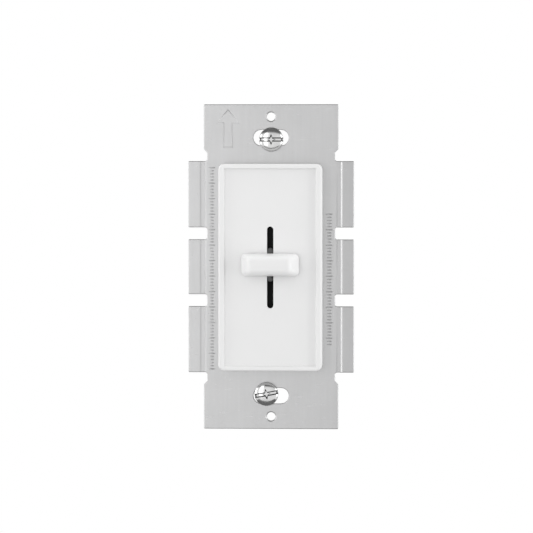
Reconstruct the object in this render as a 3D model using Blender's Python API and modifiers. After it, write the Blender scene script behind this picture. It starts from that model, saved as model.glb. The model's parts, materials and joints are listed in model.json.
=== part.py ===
"""Slide dimmer for a single-gang wall box, as the separate pieces that it comes apart into.

Metres, with +Z up. The face looks towards -Y and the wall box lies towards +Y. The origin is the middle
of the mounting strap's rear face, which is the plane that rests on the wall.
"""

import math

import bmesh
import bpy
from mathutils import Matrix, Vector
from mathutils.geometry import delaunay_2d_cdt

MM = 0.001

# Clearances
SEAT_GAP = 0.15 * MM  # between two pieces that rest on each other
SLIDE_GAP = 0.2 * MM  # between two pieces that slide past each other
HOLE_GAP = 0.4 * MM  # how much wider a hole is than what passes through it
ROOM = 0.4 * MM  # between neighbours that do not touch
SINK = 0.5 * MM  # how far a boss, rib or lead runs into the solid that it grows from
CUT_MARGIN = 1.0 * MM  # how far a cutter runs past the wall that it cuts

# Roundness
ROUND_STEPS = 20
HOLE_SIDES = 16
LEAD_SIDES = 6
LEAD_HOLE_SIDES = 8
CORNER_STEPS = 3
EDGE_STEPS = 3
KNOB_STEPS = 5
DOME_RINGS = (0.45, 0.75, 0.92)  # rings of a domed head, as shares of its radius

# Mounting strap, which is also the heat sink
STRAP_THICKNESS = 1.6 * MM
EAR_WIDTH = 43.5 * MM
EAR_HEIGHT = 14.3 * MM  # from the strap's end to where the side notch starts
EAR_CORNER = 0.4 * MM
NOTCH_DEPTH = 1.05 * MM
NOTCH_SLOPE = 1.2 * MM
NOTCH_HEIGHT = 2.8 * MM
NOTCH_CORNER = 0.5 * MM
FIN_REACH = 6.05 * MM  # beyond the strap's neck
FIN_CORNER = 0.35 * MM
MIDDLE_FIN_HEIGHT = 17.7 * MM
FIN_SPACE = 3.9 * MM
FIN_SPACE_CORNER = 0.6 * MM
SCORE_WIDTH = 2.0 * MM  # groove along which a fin is broken off
SCORE_FLOOR = 0.5 * MM
SCORE_DEPTH = 0.4 * MM
SCORE_FROM_NECK = 1.3 * MM

# Fastening of the strap to the box, and of a cover plate to the strap
MOUNTING_SPACING = 83.34 * MM
PLATE_HOLE_BEYOND = 6.75 * MM  # from a mounting hole on to the cover plate's hole
STRAP_END_BEYOND = 3.98 * MM  # from that hole on to the strap's end
OBLONG_LENGTH = 11.5 * MM
OBLONG_WIDTH = 5.1 * MM
PLATE_HOLE = 3.1 * MM
SCREW_HEAD = 7.8 * MM
SCREW_HEAD_RIM = 0.7 * MM
SCREW_HEAD_HEIGHT = 2.1 * MM
SCREW_SHANK = 3.4 * MM
SCREW_LENGTH = 22.0 * MM
SCREW_TIP = 1.0 * MM
SCREW_TIP_SLOPE = 0.7 * MM
SCREW_DRIVE = 1.0 * MM  # width of the straight slot
SCREW_DRIVE_DEPTH = 1.0 * MM
SCREW_CROSS = 4.4 * MM
SCREW_CROSS_WIDTH = 1.3 * MM
SCREW_CROSS_DEPTH = 1.6 * MM
WASHER = 7.0 * MM
WASHER_THICKNESS = 0.8 * MM
UPPER_SCREW = (0.1 * MM, -0.6 * MM, 0.0)  # sideways and up from its oblong's middle, and its turn
LOWER_SCREW = (-1.45 * MM, 0.65 * MM, 10.0)

# Face cover
FACE_WIDTH = 33.3 * MM
FACE_HEIGHT = 66.5 * MM
FACE_PROJECTION = 6.5 * MM
FACE_CORNER = 1.8 * MM
FACE_EDGE = 0.65 * MM
FACE_WALL = 1.6 * MM
RIM_SIDE = 1.9 * MM
RIM_END = 1.45 * MM
RECESS_DEPTH = 1.0 * MM
HOOK_THICKNESS = 1.2 * MM
HOOK_WIDTH = 4.0 * MM
HOOK_BARB = 0.6 * MM
HOOK_TIP = 1.4 * MM
HOOK_INSET = 1.3 * MM
HOOK_HEIGHT = 36.0 * MM  # between the upper and the lower hooks
RAIL_WIDTH = 1.0 * MM
RAIL_HEIGHT = 1.2 * MM

# Slider
TRAVEL = 15.0 * MM
REST_ABOVE_MIDDLE = 0.86 * MM
BLADE_HEIGHT = 10.8 * MM
BLADE_THICKNESS = 1.65 * MM
BLADE_SINK = 0.3 * MM  # the blade's front below the panel
SLOT_END_ROOM = 0.25 * MM
STEM_HEIGHT = 4.4 * MM
STEM_THICKNESS = 1.5 * MM
STEM_REACH = 4.5 * MM  # into the knob
FLANGE_HEIGHT = 13.0 * MM
FLANGE_THICKNESS = 1.0 * MM
NECK_WIDTH = 3.0 * MM
NECK_HEIGHT = 5.0 * MM
TANG_WIDTH = 1.8 * MM
TANG_HEIGHT = 3.6 * MM
TANG_REACH = 1.6 * MM  # into the carriage
WINDOW_ROOM = 1.0 * MM  # round the neck in the strap and the sheet
KNOB_WIDTH = 18.6 * MM
KNOB_HEIGHT = 7.3 * MM
KNOB_DEPTH = 7.0 * MM
KNOB_END_SLOPE = 2.3 * MM
KNOB_SIDE_SLOPE = 0.8 * MM
KNOB_EDGE = 1.5 * MM
KNOB_CLEAR = 0.4 * MM  # over the panel
SHUTTER_WIDTH = 6.0 * MM
SHUTTER_THICKNESS = 0.5 * MM
SHUTTER_LAP = 1.5 * MM  # past the slot's end at the far limit

# Slide potentiometer with its slide-to-off contacts
POT_WIDTH = 9.0 * MM
POT_SHEET = 0.5 * MM
POT_END_ROOM = 3.5 * MM
POT_LUG_WIDTH = 2.0 * MM
POT_LUG_SHEET = 0.4 * MM
POT_LUG_INSET = 3.0 * MM
CARRIAGE_HEIGHT = 8.0 * MM
CARRIAGE_DEPTH = 2.4 * MM
SPRING_WIDTH = 2.9 * MM
SPRING_SHEET = 0.25 * MM
SPRING_REACH = 1.5 * MM
SPRING_BEND = 0.5 * MM
SPRING_FOOT = 3.4 * MM
SPRING_TIP_LIFT = 0.5 * MM
CONTACT_UP = 2.7 * MM  # of the spring's contact point over the carriage's middle
CONTACT_RUN = 2.0 * MM
TRACK_WIDTH = 1.2 * MM
TRACK_THICKNESS = 0.2 * MM
TRACK_SPACE = 0.6 * MM
TRACK_LAP = 2.0 * MM  # past the wiper at its limit
OFF_TRAVEL = 2.0 * MM  # last part of the travel, where the switch is open
PIN_SIZE = 0.8 * MM
BASE_THICKNESS = 1.2 * MM

# Insulating sheet and circuit board
SHEET_THICKNESS = 0.3 * MM
BOARD_THICKNESS = 1.6 * MM
LEAD = 0.7 * MM

# Triac on the strap
TRIAC_WIDTH = 10.0 * MM
TRIAC_TOP = 8.5 * MM
TAB_LENGTH = 6.4 * MM
TAB_THICKNESS = 1.3 * MM
TRIAC_BODY = 9.1 * MM
TRIAC_DEPTH = 4.4 * MM
TRIAC_HOLE_DOWN = 2.8 * MM
TRIAC_LEG_PITCH = 2.54 * MM
TRIAC_LEG_WIDTH = 0.8 * MM
TRIAC_LEG_SHEET = 0.5 * MM
TRIAC_LEG_REACH = 2.6 * MM
TRIAC_LEG_BEND = 0.6 * MM
TRIAC_ROOM = 0.8 * MM  # beside the potentiometer
PAD_THICKNESS = 0.25 * MM
PAD_BORDER = 0.5 * MM
RIVET = 3.0 * MM
RIVET_HEAD = 5.2 * MM
RIVET_HEAD_HEIGHT = 1.0 * MM
RIVET_CROWN = 3.2 * MM  # flat top of its head

# Choke
CORE_OUTER = 15.0 * MM
CORE_INNER = 8.0 * MM
CORE_HEIGHT = 6.0 * MM
CORE_EDGE = 0.8 * MM
WINDING_WIRE = 0.8 * MM
WINDING_TURNS = 16
WINDING_ARC = 300.0  # degrees of the core that the turns cover
CHOKE_DOWN = 12.0 * MM

# Small parts on the board
CAPACITOR = (11.0 * MM, 11.0 * MM, 5.5 * MM)  # across, out from the board, and up
CAPACITOR_PITCH = 7.5 * MM
CAPACITOR_UP = 13.0 * MM
TIMING_CAPACITOR = (7.2 * MM, 6.5 * MM, 3.5 * MM)
TIMING_PITCH = 5.0 * MM
TIMING_ASIDE = 9.0 * MM
MOULDED_EDGE = 0.5 * MM
RESISTOR_LENGTH = 6.3 * MM
RESISTOR_CAP = 2.4 * MM
RESISTOR_WAIST = 2.0 * MM
RESISTOR_CAP_LENGTH = 1.2 * MM
RESISTOR_CAP_SLOPE = 0.4 * MM
RESISTOR_PITCH = 10.0 * MM
RESISTOR_ROWS = (7.0 * MM, 3.2 * MM)
DIAC_LENGTH = 4.0 * MM
DIAC_DIAMETER = 1.9 * MM
DIAC_EDGE = 0.3 * MM
DIAC_PITCH = 8.0 * MM
DIAC_UP = -0.6 * MM
SMALL_PARTS_ASIDE = 9.6 * MM

# Housing
HOUSING_DEPTH = 30.0 * MM
HOUSING_WALL = 1.8 * MM
HOUSING_FLOOR = 2.0 * MM
HOUSING_CORNER = 2.5 * MM
HOUSING_EDGE = 1.2 * MM
SIDE_BAY = 1.9 * MM  # between the triac and the wall
END_BAY = 11.7 * MM  # between the potentiometer and the wall
BOSS = 6.0 * MM
LEDGE_WIDTH = 1.6 * MM
LEDGE_HEIGHT = 6.0 * MM
CASE_SCREW_HEAD = 5.2 * MM
CASE_SCREW_HEAD_HEIGHT = 1.6 * MM
CASE_SCREW_SHANK = 2.3 * MM
CASE_SCREW_LENGTH = 11.0 * MM

# Side terminals
TERMINAL_SPACING = 27.0 * MM
TERMINAL_WIDTH = 9.2 * MM
TERMINAL_LENGTH = 9.2 * MM
TERMINAL_SHEET = 0.9 * MM
TERMINAL_TAIL = 2.4 * MM
TERMINAL_HEAD = 7.0 * MM
TERMINAL_HEAD_HEIGHT = 2.4 * MM
TERMINAL_HEAD_SINK = 0.9 * MM  # below the housing's side
TERMINAL_SHANK = 3.0 * MM
TERMINAL_SCREW_LENGTH = 4.7 * MM
WIRE_SPACE = 0.8 * MM  # under the head
BLOCK_WALL = 1.5 * MM
BLOCK_CLEAR = 1.0 * MM  # behind the board

# Earth lug
LUG_ASIDE = 12.0 * MM
LUG_WIDTH = 8.0 * MM
LUG_SHEET = 0.8 * MM
LUG_FOOT = 6.0 * MM
LUG_REACH = 10.0 * MM
LUG_BEND = 0.8 * MM
LUG_STAKE = 2.4 * MM
LUG_STAKE_DOWN = 2.1 * MM
EARTH_HEAD = 7.2 * MM
EARTH_HEAD_HEIGHT = 2.4 * MM
EARTH_SHANK = 3.4 * MM
EARTH_SCREW_LENGTH = 4.5 * MM

# Depths of the layers, from the front to the back
STRAP_FRONT = -STRAP_THICKNESS
FACE_BACK = STRAP_FRONT - SEAT_GAP
FACE_FRONT = FACE_BACK - FACE_PROJECTION
PANEL_FRONT = FACE_FRONT + RECESS_DEPTH
PANEL_BACK = PANEL_FRONT + FACE_WALL
KNOB_BACK = PANEL_FRONT - KNOB_CLEAR
KNOB_FRONT = KNOB_BACK - KNOB_DEPTH
BLADE_FRONT = PANEL_FRONT + BLADE_SINK
SHUTTER_FRONT = PANEL_BACK + SLIDE_GAP
SHUTTER_BACK = SHUTTER_FRONT + SHUTTER_THICKNESS
FLANGE_FRONT = SHUTTER_BACK + SEAT_GAP
FLANGE_BACK = FLANGE_FRONT + FLANGE_THICKNESS
REAR_SEAT = SEAT_GAP
SHEET_BACK = REAR_SEAT + SHEET_THICKNESS
POT_FRONT = SHEET_BACK + SEAT_GAP
CARRIAGE_FRONT = POT_FRONT + POT_SHEET + SLIDE_GAP
CARRIAGE_BACK = CARRIAGE_FRONT + CARRIAGE_DEPTH
SPRING_FRONT = CARRIAGE_BACK + SEAT_GAP
TRACK_FRONT = SPRING_FRONT + SPRING_REACH + SEAT_GAP
BASE_FRONT = TRACK_FRONT + TRACK_THICKNESS + SEAT_GAP
BASE_BACK = BASE_FRONT + BASE_THICKNESS
BOARD_FRONT = BASE_BACK + SEAT_GAP
BOARD_BACK = BOARD_FRONT + BOARD_THICKNESS
PART_SEAT = BOARD_BACK + SEAT_GAP
TAB_FRONT = REAR_SEAT + PAD_THICKNESS + SEAT_GAP
TAB_BACK = TAB_FRONT + TAB_THICKNESS
HOUSING_BACK = REAR_SEAT + HOUSING_DEPTH
HOUSING_INSIDE = HOUSING_BACK - HOUSING_FLOOR

# Widths and heights that follow from the pieces
PLATE_SPACING = MOUNTING_SPACING + 2 * PLATE_HOLE_BEYOND
STRAP_HEIGHT = PLATE_SPACING + 2 * STRAP_END_BEYOND
NECK_HALF = EAR_WIDTH / 2 - NOTCH_DEPTH
NOTCH_END_UP = STRAP_HEIGHT / 2 - EAR_HEIGHT - NOTCH_SLOPE
FIN_STACK_HALF = NOTCH_END_UP - NOTCH_HEIGHT
FACE_HALF_INSIDE = FACE_WIDTH / 2 - FACE_WALL
FACE_HALF_INSIDE_UP = FACE_HEIGHT / 2 - FACE_WALL
SLOT_WIDTH = BLADE_THICKNESS + 2 * SLIDE_GAP
SLOT_LENGTH = TRAVEL + BLADE_HEIGHT + 2 * SLOT_END_ROOM
SHUTTER_LENGTH = SLOT_LENGTH + TRAVEL + 2 * SHUTTER_LAP
WINDOW_WIDTH = NECK_WIDTH + 2 * WINDOW_ROOM
WINDOW_LENGTH = NECK_HEIGHT + TRAVEL + 2 * WINDOW_ROOM
POT_LENGTH = TRAVEL + CARRIAGE_HEIGHT + 2 * POT_END_ROOM
POT_HALF_INSIDE = POT_WIDTH / 2 - POT_SHEET
TRACK_PITCH = TRACK_WIDTH + TRACK_SPACE
TRACK_TOP = TRAVEL / 2 + CONTACT_UP + TRACK_LAP
PIN_UP = TRACK_TOP - PIN_SIZE
TRIAC_ASIDE = POT_WIDTH / 2 + TRIAC_ROOM + TRIAC_WIDTH / 2
TRIAC_BOTTOM = TRIAC_TOP - TAB_LENGTH - TRIAC_BODY
RIVET_UP = TRIAC_TOP - TRIAC_HOLE_DOWN
INSIDE_HALF = TRIAC_ASIDE + TRIAC_WIDTH / 2 + SIDE_BAY
INSIDE_HALF_UP = POT_LENGTH / 2 + END_BAY
HOUSING_HALF = INSIDE_HALF + HOUSING_WALL
HOUSING_HALF_UP = INSIDE_HALF_UP + HOUSING_WALL
BOSS_ASIDE = min(FACE_HALF_INSIDE - CASE_SCREW_HEAD / 2, INSIDE_HALF - BOSS / 2) - ROOM
BOSS_UP = min(FACE_HALF_INSIDE_UP - CASE_SCREW_HEAD / 2 - ROOM, INSIDE_HALF_UP - BOSS / 2 + SINK)
HOOK_ASIDE = min(FACE_HALF_INSIDE, INSIDE_HALF) - HOOK_INSET
CHOKE_RADIUS = CORE_OUTER / 2 + WINDING_WIRE + SEAT_GAP
CHOKE_ASIDE = INSIDE_HALF - ROOM - CHOKE_RADIUS
CHOKE_MIDDLE = PART_SEAT + SEAT_GAP + WINDING_WIRE + CORE_HEIGHT / 2
CAPACITOR_ASIDE = INSIDE_HALF - ROOM - CAPACITOR[0] / 2
HEAD_BACK = HOUSING_HALF - TERMINAL_HEAD_SINK - TERMINAL_HEAD_HEIGHT
TERMINAL_BACK = HEAD_BACK - WIRE_SPACE - TERMINAL_SHEET
POCKET_FLOOR = TERMINAL_BACK - SEAT_GAP
TERMINAL_SCREW_TIP = HEAD_BACK - TERMINAL_SCREW_LENGTH
BLOCK_INSIDE = TERMINAL_SCREW_TIP - ROOM - BLOCK_WALL
POCKET_FRONT = BOARD_BACK + BLOCK_CLEAR + BLOCK_WALL
TERMINAL_FRONT = POCKET_FRONT + ROOM
POCKET_BACK = TERMINAL_FRONT + TERMINAL_LENGTH + ROOM
POCKET_HALF = TERMINAL_WIDTH / 2 + ROOM
LUG_TOP = -HOUSING_HALF_UP - ROOM
LUG_BOTTOM = LUG_TOP - LUG_FOOT
STAKE_UP = LUG_TOP - LUG_STAKE_DOWN
EARTH_SCREW_BACK = REAR_SEAT + LUG_REACH - EARTH_HEAD / 2 - ROOM
LEAD_END = BOARD_FRONT + SEAT_GAP  # of a lead from behind the board
LEG_END = BOARD_BACK - SEAT_GAP  # of a leg from in front of the board
BOARD_OUTLINE = (
    INSIDE_HALF - ROOM,
    INSIDE_HALF_UP - ROOM,
    BOSS_ASIDE - BOSS / 2 - ROOM,
    BOSS_UP - BOSS / 2 - ROOM,
)

CORNERS = ((1, 1), (-1, 1), (-1, -1), (1, -1))
SIDES = (1, -1)
NEAR = 0.01 * MM  # tolerance for finding the edges on a plane

# Which way the +Z of a turned shape looks
FORWARD = Matrix.Rotation(math.pi / 2, 4, "X")
RIGHT = Matrix.Rotation(math.pi / 2, 4, "Y")
DOWN = Matrix.Rotation(math.pi, 4, "X")

# How a flat outline is stood up before it is drawn out along an axis
OUTLINE_TURN = {
    "X": Matrix(((0, 0, 1), (1, 0, 0), (0, 1, 0))).to_4x4(),  # outline in Y and Z
    "Y": Matrix(((1, 0, 0), (0, 0, -1), (0, 1, 0))).to_4x4(),  # outline in X and Z
    "Z": Matrix.Identity(4),  # outline in X and Y
}
FILL_IN_FACES = 4  # the kind of fill whose faces a mesh can hold
FILL_MERGE = 1e-8

# Finish of each material: colour, roughness and metallic value
FINISHES = {
    "satin_aluminium": ((0.62, 0.62, 0.62), 0.42, 1.0),
    "white_plastic": ((0.83, 0.83, 0.83), 0.45, 0.0),
    "grey_plastic": ((0.07, 0.07, 0.07), 0.5, 0.0),
    "black_plastic": ((0.018, 0.018, 0.018), 0.5, 0.0),
    "bright_steel": ((0.68, 0.68, 0.67), 0.2, 1.0),
    "green_steel": ((0.06, 0.3, 0.1), 0.35, 0.6),
    "brass": ((0.78, 0.57, 0.22), 0.3, 1.0),
    "bronze": ((0.7, 0.45, 0.25), 0.35, 1.0),
    "copper": ((0.72, 0.32, 0.16), 0.3, 1.0),
    "tinned_steel": ((0.6, 0.6, 0.58), 0.4, 1.0),
    "grey_fibre": ((0.3, 0.29, 0.27), 0.8, 0.0),
    "board_laminate": ((0.42, 0.31, 0.12), 0.6, 0.0),
    "carbon_film": ((0.03, 0.03, 0.03), 0.7, 0.0),
    "ferrite": ((0.05, 0.05, 0.055), 0.6, 0.0),
    "capacitor_case": ((0.62, 0.5, 0.12), 0.5, 0.0),
    "resistor_lacquer": ((0.55, 0.42, 0.28), 0.5, 0.0),
    "diac_glass": ((0.1, 0.2, 0.4), 0.25, 0.0),
}


def new_collection(name):
    group = bpy.data.collections.new(name)
    bpy.context.scene.collection.children.link(group)
    return group


for left_over in list(bpy.data.objects):
    bpy.data.objects.remove(left_over)
PIECES = new_collection("slide_dimmer")
CUTTERS = new_collection("slide_dimmer_cutters")


def material(name):
    """The Principled material of that finish, made when it is first asked for."""
    found = bpy.data.materials.get(name)
    if found:
        return found
    colour, roughness, metallic = FINISHES[name]
    made = bpy.data.materials.new(name)
    made.use_nodes = True
    shader = made.node_tree.nodes["Principled BSDF"]
    shader.inputs["Base Color"].default_value = (*colour, 1.0)
    shader.inputs["Roughness"].default_value = roughness
    shader.inputs["Metallic"].default_value = metallic
    return made


def body(name, place=(0.0, 0.0, 0.0), rides_on=None):
    """An empty that carries the pieces of one body."""
    carrier = bpy.data.objects.new(name, None)
    carrier.location = place
    carrier.parent = rides_on
    PIECES.objects.link(carrier)
    return carrier


def link_piece(name, mesh):
    piece = bpy.data.objects.new(name, mesh)
    PIECES.objects.link(piece)
    return piece


def finish(piece, finish_name, carrier):
    """Gives a piece its material and hangs it, with the shapes that cut it, on its body."""
    piece.data.materials.append(material(finish_name))
    piece.data.shade_smooth()
    piece.data.set_sharp_from_angle(angle=math.radians(30))
    piece.parent = carrier
    for change in piece.modifiers:
        if change.type == "BOOLEAN":
            change.object.parent = carrier
    return piece


def combine(piece, tool, operation):
    change = piece.modifiers.new(tool.name, "BOOLEAN")
    change.operation = operation
    change.object = tool
    PIECES.objects.unlink(tool)
    CUTTERS.objects.link(tool)
    tool.hide_render = True
    tool.display_type = "WIRE"


def cut(piece, *tools):
    for tool in tools:
        combine(piece, tool, "DIFFERENCE")


def join(piece, *tools):
    for tool in tools:
        combine(piece, tool, "UNION")


def soften(piece, radius, chosen, steps=EDGE_STEPS):
    """Rounds each edge of a piece that passes a test on its two ends."""
    mesh = piece.data
    weights = mesh.attributes.new("bevel_weight_edge", "FLOAT", "EDGE")
    for edge in mesh.edges:
        first, second = (mesh.vertices[index].co for index in edge.vertices)
        weights.data[edge.index].value = float(chosen(first, second))
    rounding = piece.modifiers.new("rounded edges", "BEVEL")
    rounding.limit_method = "WEIGHT"
    rounding.width = radius
    rounding.segments = steps


def fillet(before, corner, after, radius):
    """The points of the arc that rounds one corner of an outline."""
    corner = Vector(corner)
    to_before = (Vector(before) - corner).normalized()
    to_after = (Vector(after) - corner).normalized()
    half = to_before.angle(to_after) / 2
    middle = corner + (to_before + to_after).normalized() * radius / math.sin(half)
    start = corner + to_before * radius / math.tan(half) - middle
    end = corner + to_after * radius / math.tan(half) - middle
    first = math.atan2(start.y, start.x)
    sweep = math.atan2(end.y, end.x) - first
    sweep = (sweep + math.pi) % (2 * math.pi) - math.pi
    points = []
    for step in range(CORNER_STEPS + 1):
        angle = first + sweep * step / CORNER_STEPS
        points.append((middle.x + radius * math.cos(angle), middle.y + radius * math.sin(angle)))
    return points


def rounded(corners):
    """A closed outline from corners that each give a place and a radius."""
    outline = []
    for index, (across, up, radius) in enumerate(corners):
        before = corners[index - 1][:2]
        after = corners[(index + 1) % len(corners)][:2]
        outline += fillet(before, (across, up), after, radius) if radius else [(across, up)]
    return outline


def rectangle(half, half_up, radius=0.0, at=(0.0, 0.0)):
    return rounded([(at[0] + half * across, at[1] + half_up * up, radius) for across, up in CORNERS])


def arc(radius, at, start, sweep, steps):
    """Points on a circle, with the angles in degrees."""
    points = []
    for step in range(steps + 1):
        angle = math.radians(start + sweep * step / steps)
        points.append((at[0] + radius * math.cos(angle), at[1] + radius * math.sin(angle)))
    return points


def circle(diameter, at=(0.0, 0.0), sides=HOLE_SIDES):
    return arc(diameter / 2, at, 0.0, 360.0, sides)[:-1]


def oblong(length, width, at=(0.0, 0.0), upright=False):
    """An outline with straight sides and round ends."""
    run = (length - width) / 2
    turn = 90.0 if upright else 0.0
    step = (0.0, run) if upright else (run, 0.0)
    first = arc(width / 2, (at[0] + step[0], at[1] + step[1]), turn - 90.0, 180.0, HOLE_SIDES // 2)
    second = arc(width / 2, (at[0] - step[0], at[1] - step[1]), turn + 90.0, 180.0, HOLE_SIDES // 2)
    return first + second


def cross_shape(half, half_up, notch, notch_up):
    """A rectangle that is cut square at its corners to pass the bosses."""
    quarter = [(half, notch_up), (notch, notch_up), (notch, half_up)]
    outline = []
    for across, up in CORNERS:
        run = quarter if across == up else quarter[::-1]
        outline += [(across * aside, up * height) for aside, height in run]
    return outline


def bent_sheet(path, thickness, radius):
    """The outline of a strip of sheet that follows a path, with its bends rounded."""
    middle = [path[0]]
    for before, corner, after in zip(path, path[1:], path[2:]):
        middle += fillet(before, corner, after, radius)
    middle.append(path[-1])
    one_side, other_side = [], []
    for index, point in enumerate(middle):
        before = Vector(middle[max(index - 1, 0)])
        after = Vector(middle[min(index + 1, len(middle) - 1)])
        along = (after - before).normalized()
        aside = Vector((-along.y, along.x)) * thickness / 2
        one_side.append(tuple(Vector(point) + aside))
        other_side.append(tuple(Vector(point) - aside))
    return one_side + other_side[::-1]


def block(name, low, high):
    """A box between two corners."""
    low, high = Vector(low), Vector(high)
    shape = bmesh.new()
    bmesh.ops.create_cube(shape, size=1.0)
    placing = Matrix.LocRotScale((low + high) / 2, None, high - low)
    bmesh.ops.transform(shape, matrix=placing, verts=shape.verts)
    return mesh_of(name, shape)


def mesh_of(name, shape):
    """A piece from a closed shape, with every face turned outwards."""
    bmesh.ops.recalc_face_normals(shape, faces=shape.faces)
    mesh = bpy.data.meshes.new(name)
    shape.to_mesh(mesh)
    shape.free()
    return link_piece(name, mesh)


def prism(name, loops, start, end, axis):
    """A flat outline, with any holes in it, drawn out along an axis."""
    corners, outlines = [], []
    for loop in loops:
        places = [Vector(corner) for corner in loop]
        turn = sum(first.cross(second) for first, second in zip(places, places[1:] + places[:1]))
        outlines.append(list(range(len(corners), len(corners) + len(loop))))
        corners += places if turn > 0.0 else places[::-1]
    points, _, faces, _, _, inside = delaunay_2d_cdt(corners, [], outlines, FILL_IN_FACES, FILL_MERGE)
    shape = bmesh.new()
    drawn = [shape.verts.new((*point, (start - end) / 2)) for point in points]
    for face, lies_in in zip(faces, inside):
        if lies_in == [0]:
            shape.faces.new([drawn[index] for index in face])
    raised = bmesh.ops.extrude_face_region(shape, geom=shape.faces)["geom"]
    top = [item for item in raised if isinstance(item, bmesh.types.BMVert)]
    bmesh.ops.translate(shape, vec=(0.0, 0.0, end - start), verts=top)
    middle = Vector()
    middle["XYZ".index(axis)] = (start + end) / 2
    placing = Matrix.Translation(middle) @ OUTLINE_TURN[axis]
    bmesh.ops.transform(shape, matrix=placing, verts=shape.verts)
    return mesh_of(name, shape)


def wire(name, points, diameter):
    """A round wire along a path. The curve is drawn in millimetres, where its filled ends stay exact."""
    path = bpy.data.curves.new(name, "CURVE")
    path.dimensions = "3D"
    path.bevel_depth = diameter / MM / 2
    path.bevel_resolution = LEAD_SIDES // 2 - 2
    path.use_fill_caps = True
    spline = path.splines.new("POLY")
    spline.points.add(len(points) - 1)
    for point, place in zip(spline.points, points):
        point.co = (place[0] / MM, place[1] / MM, place[2] / MM, 1.0)
    drawn = bpy.data.objects.new(name, path)
    bpy.context.scene.collection.objects.link(drawn)
    graph = bpy.context.evaluated_depsgraph_get()
    mesh = bpy.data.meshes.new_from_object(drawn.evaluated_get(graph))
    bpy.data.objects.remove(drawn)
    bpy.data.curves.remove(path)
    mesh.transform(Matrix.Scale(MM, 4))
    shape = bmesh.new()
    shape.from_mesh(mesh)
    bpy.data.meshes.remove(mesh)
    bmesh.ops.remove_doubles(shape, verts=shape.verts, dist=1e-6)
    return mesh_of(name, shape)


def turned(name, profile, place, facing, closed=False):
    """A shape turned about its own Z. The profile gives radius and height, from the top down."""
    shape = bmesh.new()
    corners = [shape.verts.new((radius, 0.0, height)) for radius, height in profile]
    for first, second in zip(corners, corners[1:]):
        shape.edges.new((first, second))
    if closed:
        shape.edges.new((corners[-1], corners[0]))
    mesh = bpy.data.meshes.new(name)
    shape.to_mesh(mesh)
    shape.free()
    piece = link_piece(name, mesh)
    spin = piece.modifiers.new("turn", "SCREW")
    spin.steps = ROUND_STEPS
    spin.render_steps = ROUND_STEPS
    spin.use_merge_vertices = True
    spin.merge_threshold = 1e-6
    piece.matrix_basis = Matrix.Translation(place) @ facing
    return piece


def screw(name, head, shank, place, facing, drives):
    """A screw whose head rests on its local Z = 0. A drive is a cut's length, width and depth."""
    diameter, rim, height = head
    thickness, length = shank
    dome = [(0.0, height)]
    for share in DOME_RINGS:
        dome.append((diameter / 2 * share, rim + (height - rim) * math.sqrt(1 - share**2)))
    profile = dome + [
        (diameter / 2, rim),
        (diameter / 2, 0.0),
        (thickness / 2, 0.0),
        (thickness / 2, SCREW_TIP - length),
        (thickness / 2 - SCREW_TIP_SLOPE, -length),
        (0.0, -length),
    ]
    piece = turned(name, profile, place, facing)
    for number, (across, wide, depth) in enumerate(drives):
        tool = block(
            f"{name}_drive_{number}",
            (-across / 2, -wide / 2, height - depth),
            (across / 2, wide / 2, height + CUT_MARGIN),
        )
        tool.matrix_basis = piece.matrix_basis
        cut(piece, tool)
    return piece


def strap_outline():
    """The strap's outline: two ears, and three fins on each side."""
    fin = NECK_HALF + FIN_REACH
    middle = MIDDLE_FIN_HEIGHT / 2
    quarter = [
        (EAR_WIDTH / 2, STRAP_HEIGHT / 2, EAR_CORNER),
        (EAR_WIDTH / 2, NOTCH_END_UP + NOTCH_SLOPE, NOTCH_CORNER),
        (NECK_HALF, NOTCH_END_UP, NOTCH_CORNER),
        (NECK_HALF, FIN_STACK_HALF, FIN_SPACE_CORNER),
        (fin, FIN_STACK_HALF, FIN_CORNER),
        (fin, middle + FIN_SPACE, FIN_CORNER),
        (NECK_HALF, middle + FIN_SPACE, FIN_SPACE_CORNER),
        (NECK_HALF, middle, FIN_SPACE_CORNER),
        (fin, middle, FIN_CORNER),
    ]
    right = quarter + [(across, -up, radius) for across, up, radius in reversed(quarter)]
    left = [(-across, up, radius) for across, up, radius in reversed(right)]
    return rounded(right + left)


def make_strap(device):
    loops = [strap_outline(), rectangle(WINDOW_WIDTH / 2, WINDOW_LENGTH / 2, NOTCH_CORNER)]
    for side in SIDES:
        loops.append(oblong(OBLONG_LENGTH, OBLONG_WIDTH, (0.0, side * MOUNTING_SPACING / 2)))
        loops.append(circle(PLATE_HOLE, (0.0, side * PLATE_SPACING / 2)))
    loops.append(circle(RIVET + HOLE_GAP, (TRIAC_ASIDE, RIVET_UP)))
    loops.append(circle(LUG_STAKE + HOLE_GAP, (-LUG_ASIDE, STAKE_UP)))
    hook_hole = ((HOOK_THICKNESS + HOLE_GAP) / 2, (HOOK_WIDTH + HOLE_GAP) / 2)
    for across, up in CORNERS:
        loops.append(circle(CASE_SCREW_SHANK + HOLE_GAP, (across * BOSS_ASIDE, up * BOSS_UP)))
        loops.append(rectangle(*hook_hole, at=(across * HOOK_ASIDE, up * HOOK_HEIGHT / 2)))
    strap = prism("mounting_strap", loops, STRAP_FRONT, 0.0, "Y")
    run = FIN_STACK_HALF + NOTCH_HEIGHT / 2
    for side in SIDES:
        middle = side * (NECK_HALF + SCORE_FROM_NECK)
        groove = [
            (middle - SCORE_WIDTH / 2, STRAP_FRONT - CUT_MARGIN),
            (middle - SCORE_WIDTH / 2, STRAP_FRONT),
            (middle - SCORE_FLOOR / 2, STRAP_FRONT + SCORE_DEPTH),
            (middle + SCORE_FLOOR / 2, STRAP_FRONT + SCORE_DEPTH),
            (middle + SCORE_WIDTH / 2, STRAP_FRONT),
            (middle + SCORE_WIDTH / 2, STRAP_FRONT - CUT_MARGIN),
        ]
        cut(strap, prism(f"score_{side}", [groove], -run, run, "Z"))
    finish(strap, "satin_aluminium", device)


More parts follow.
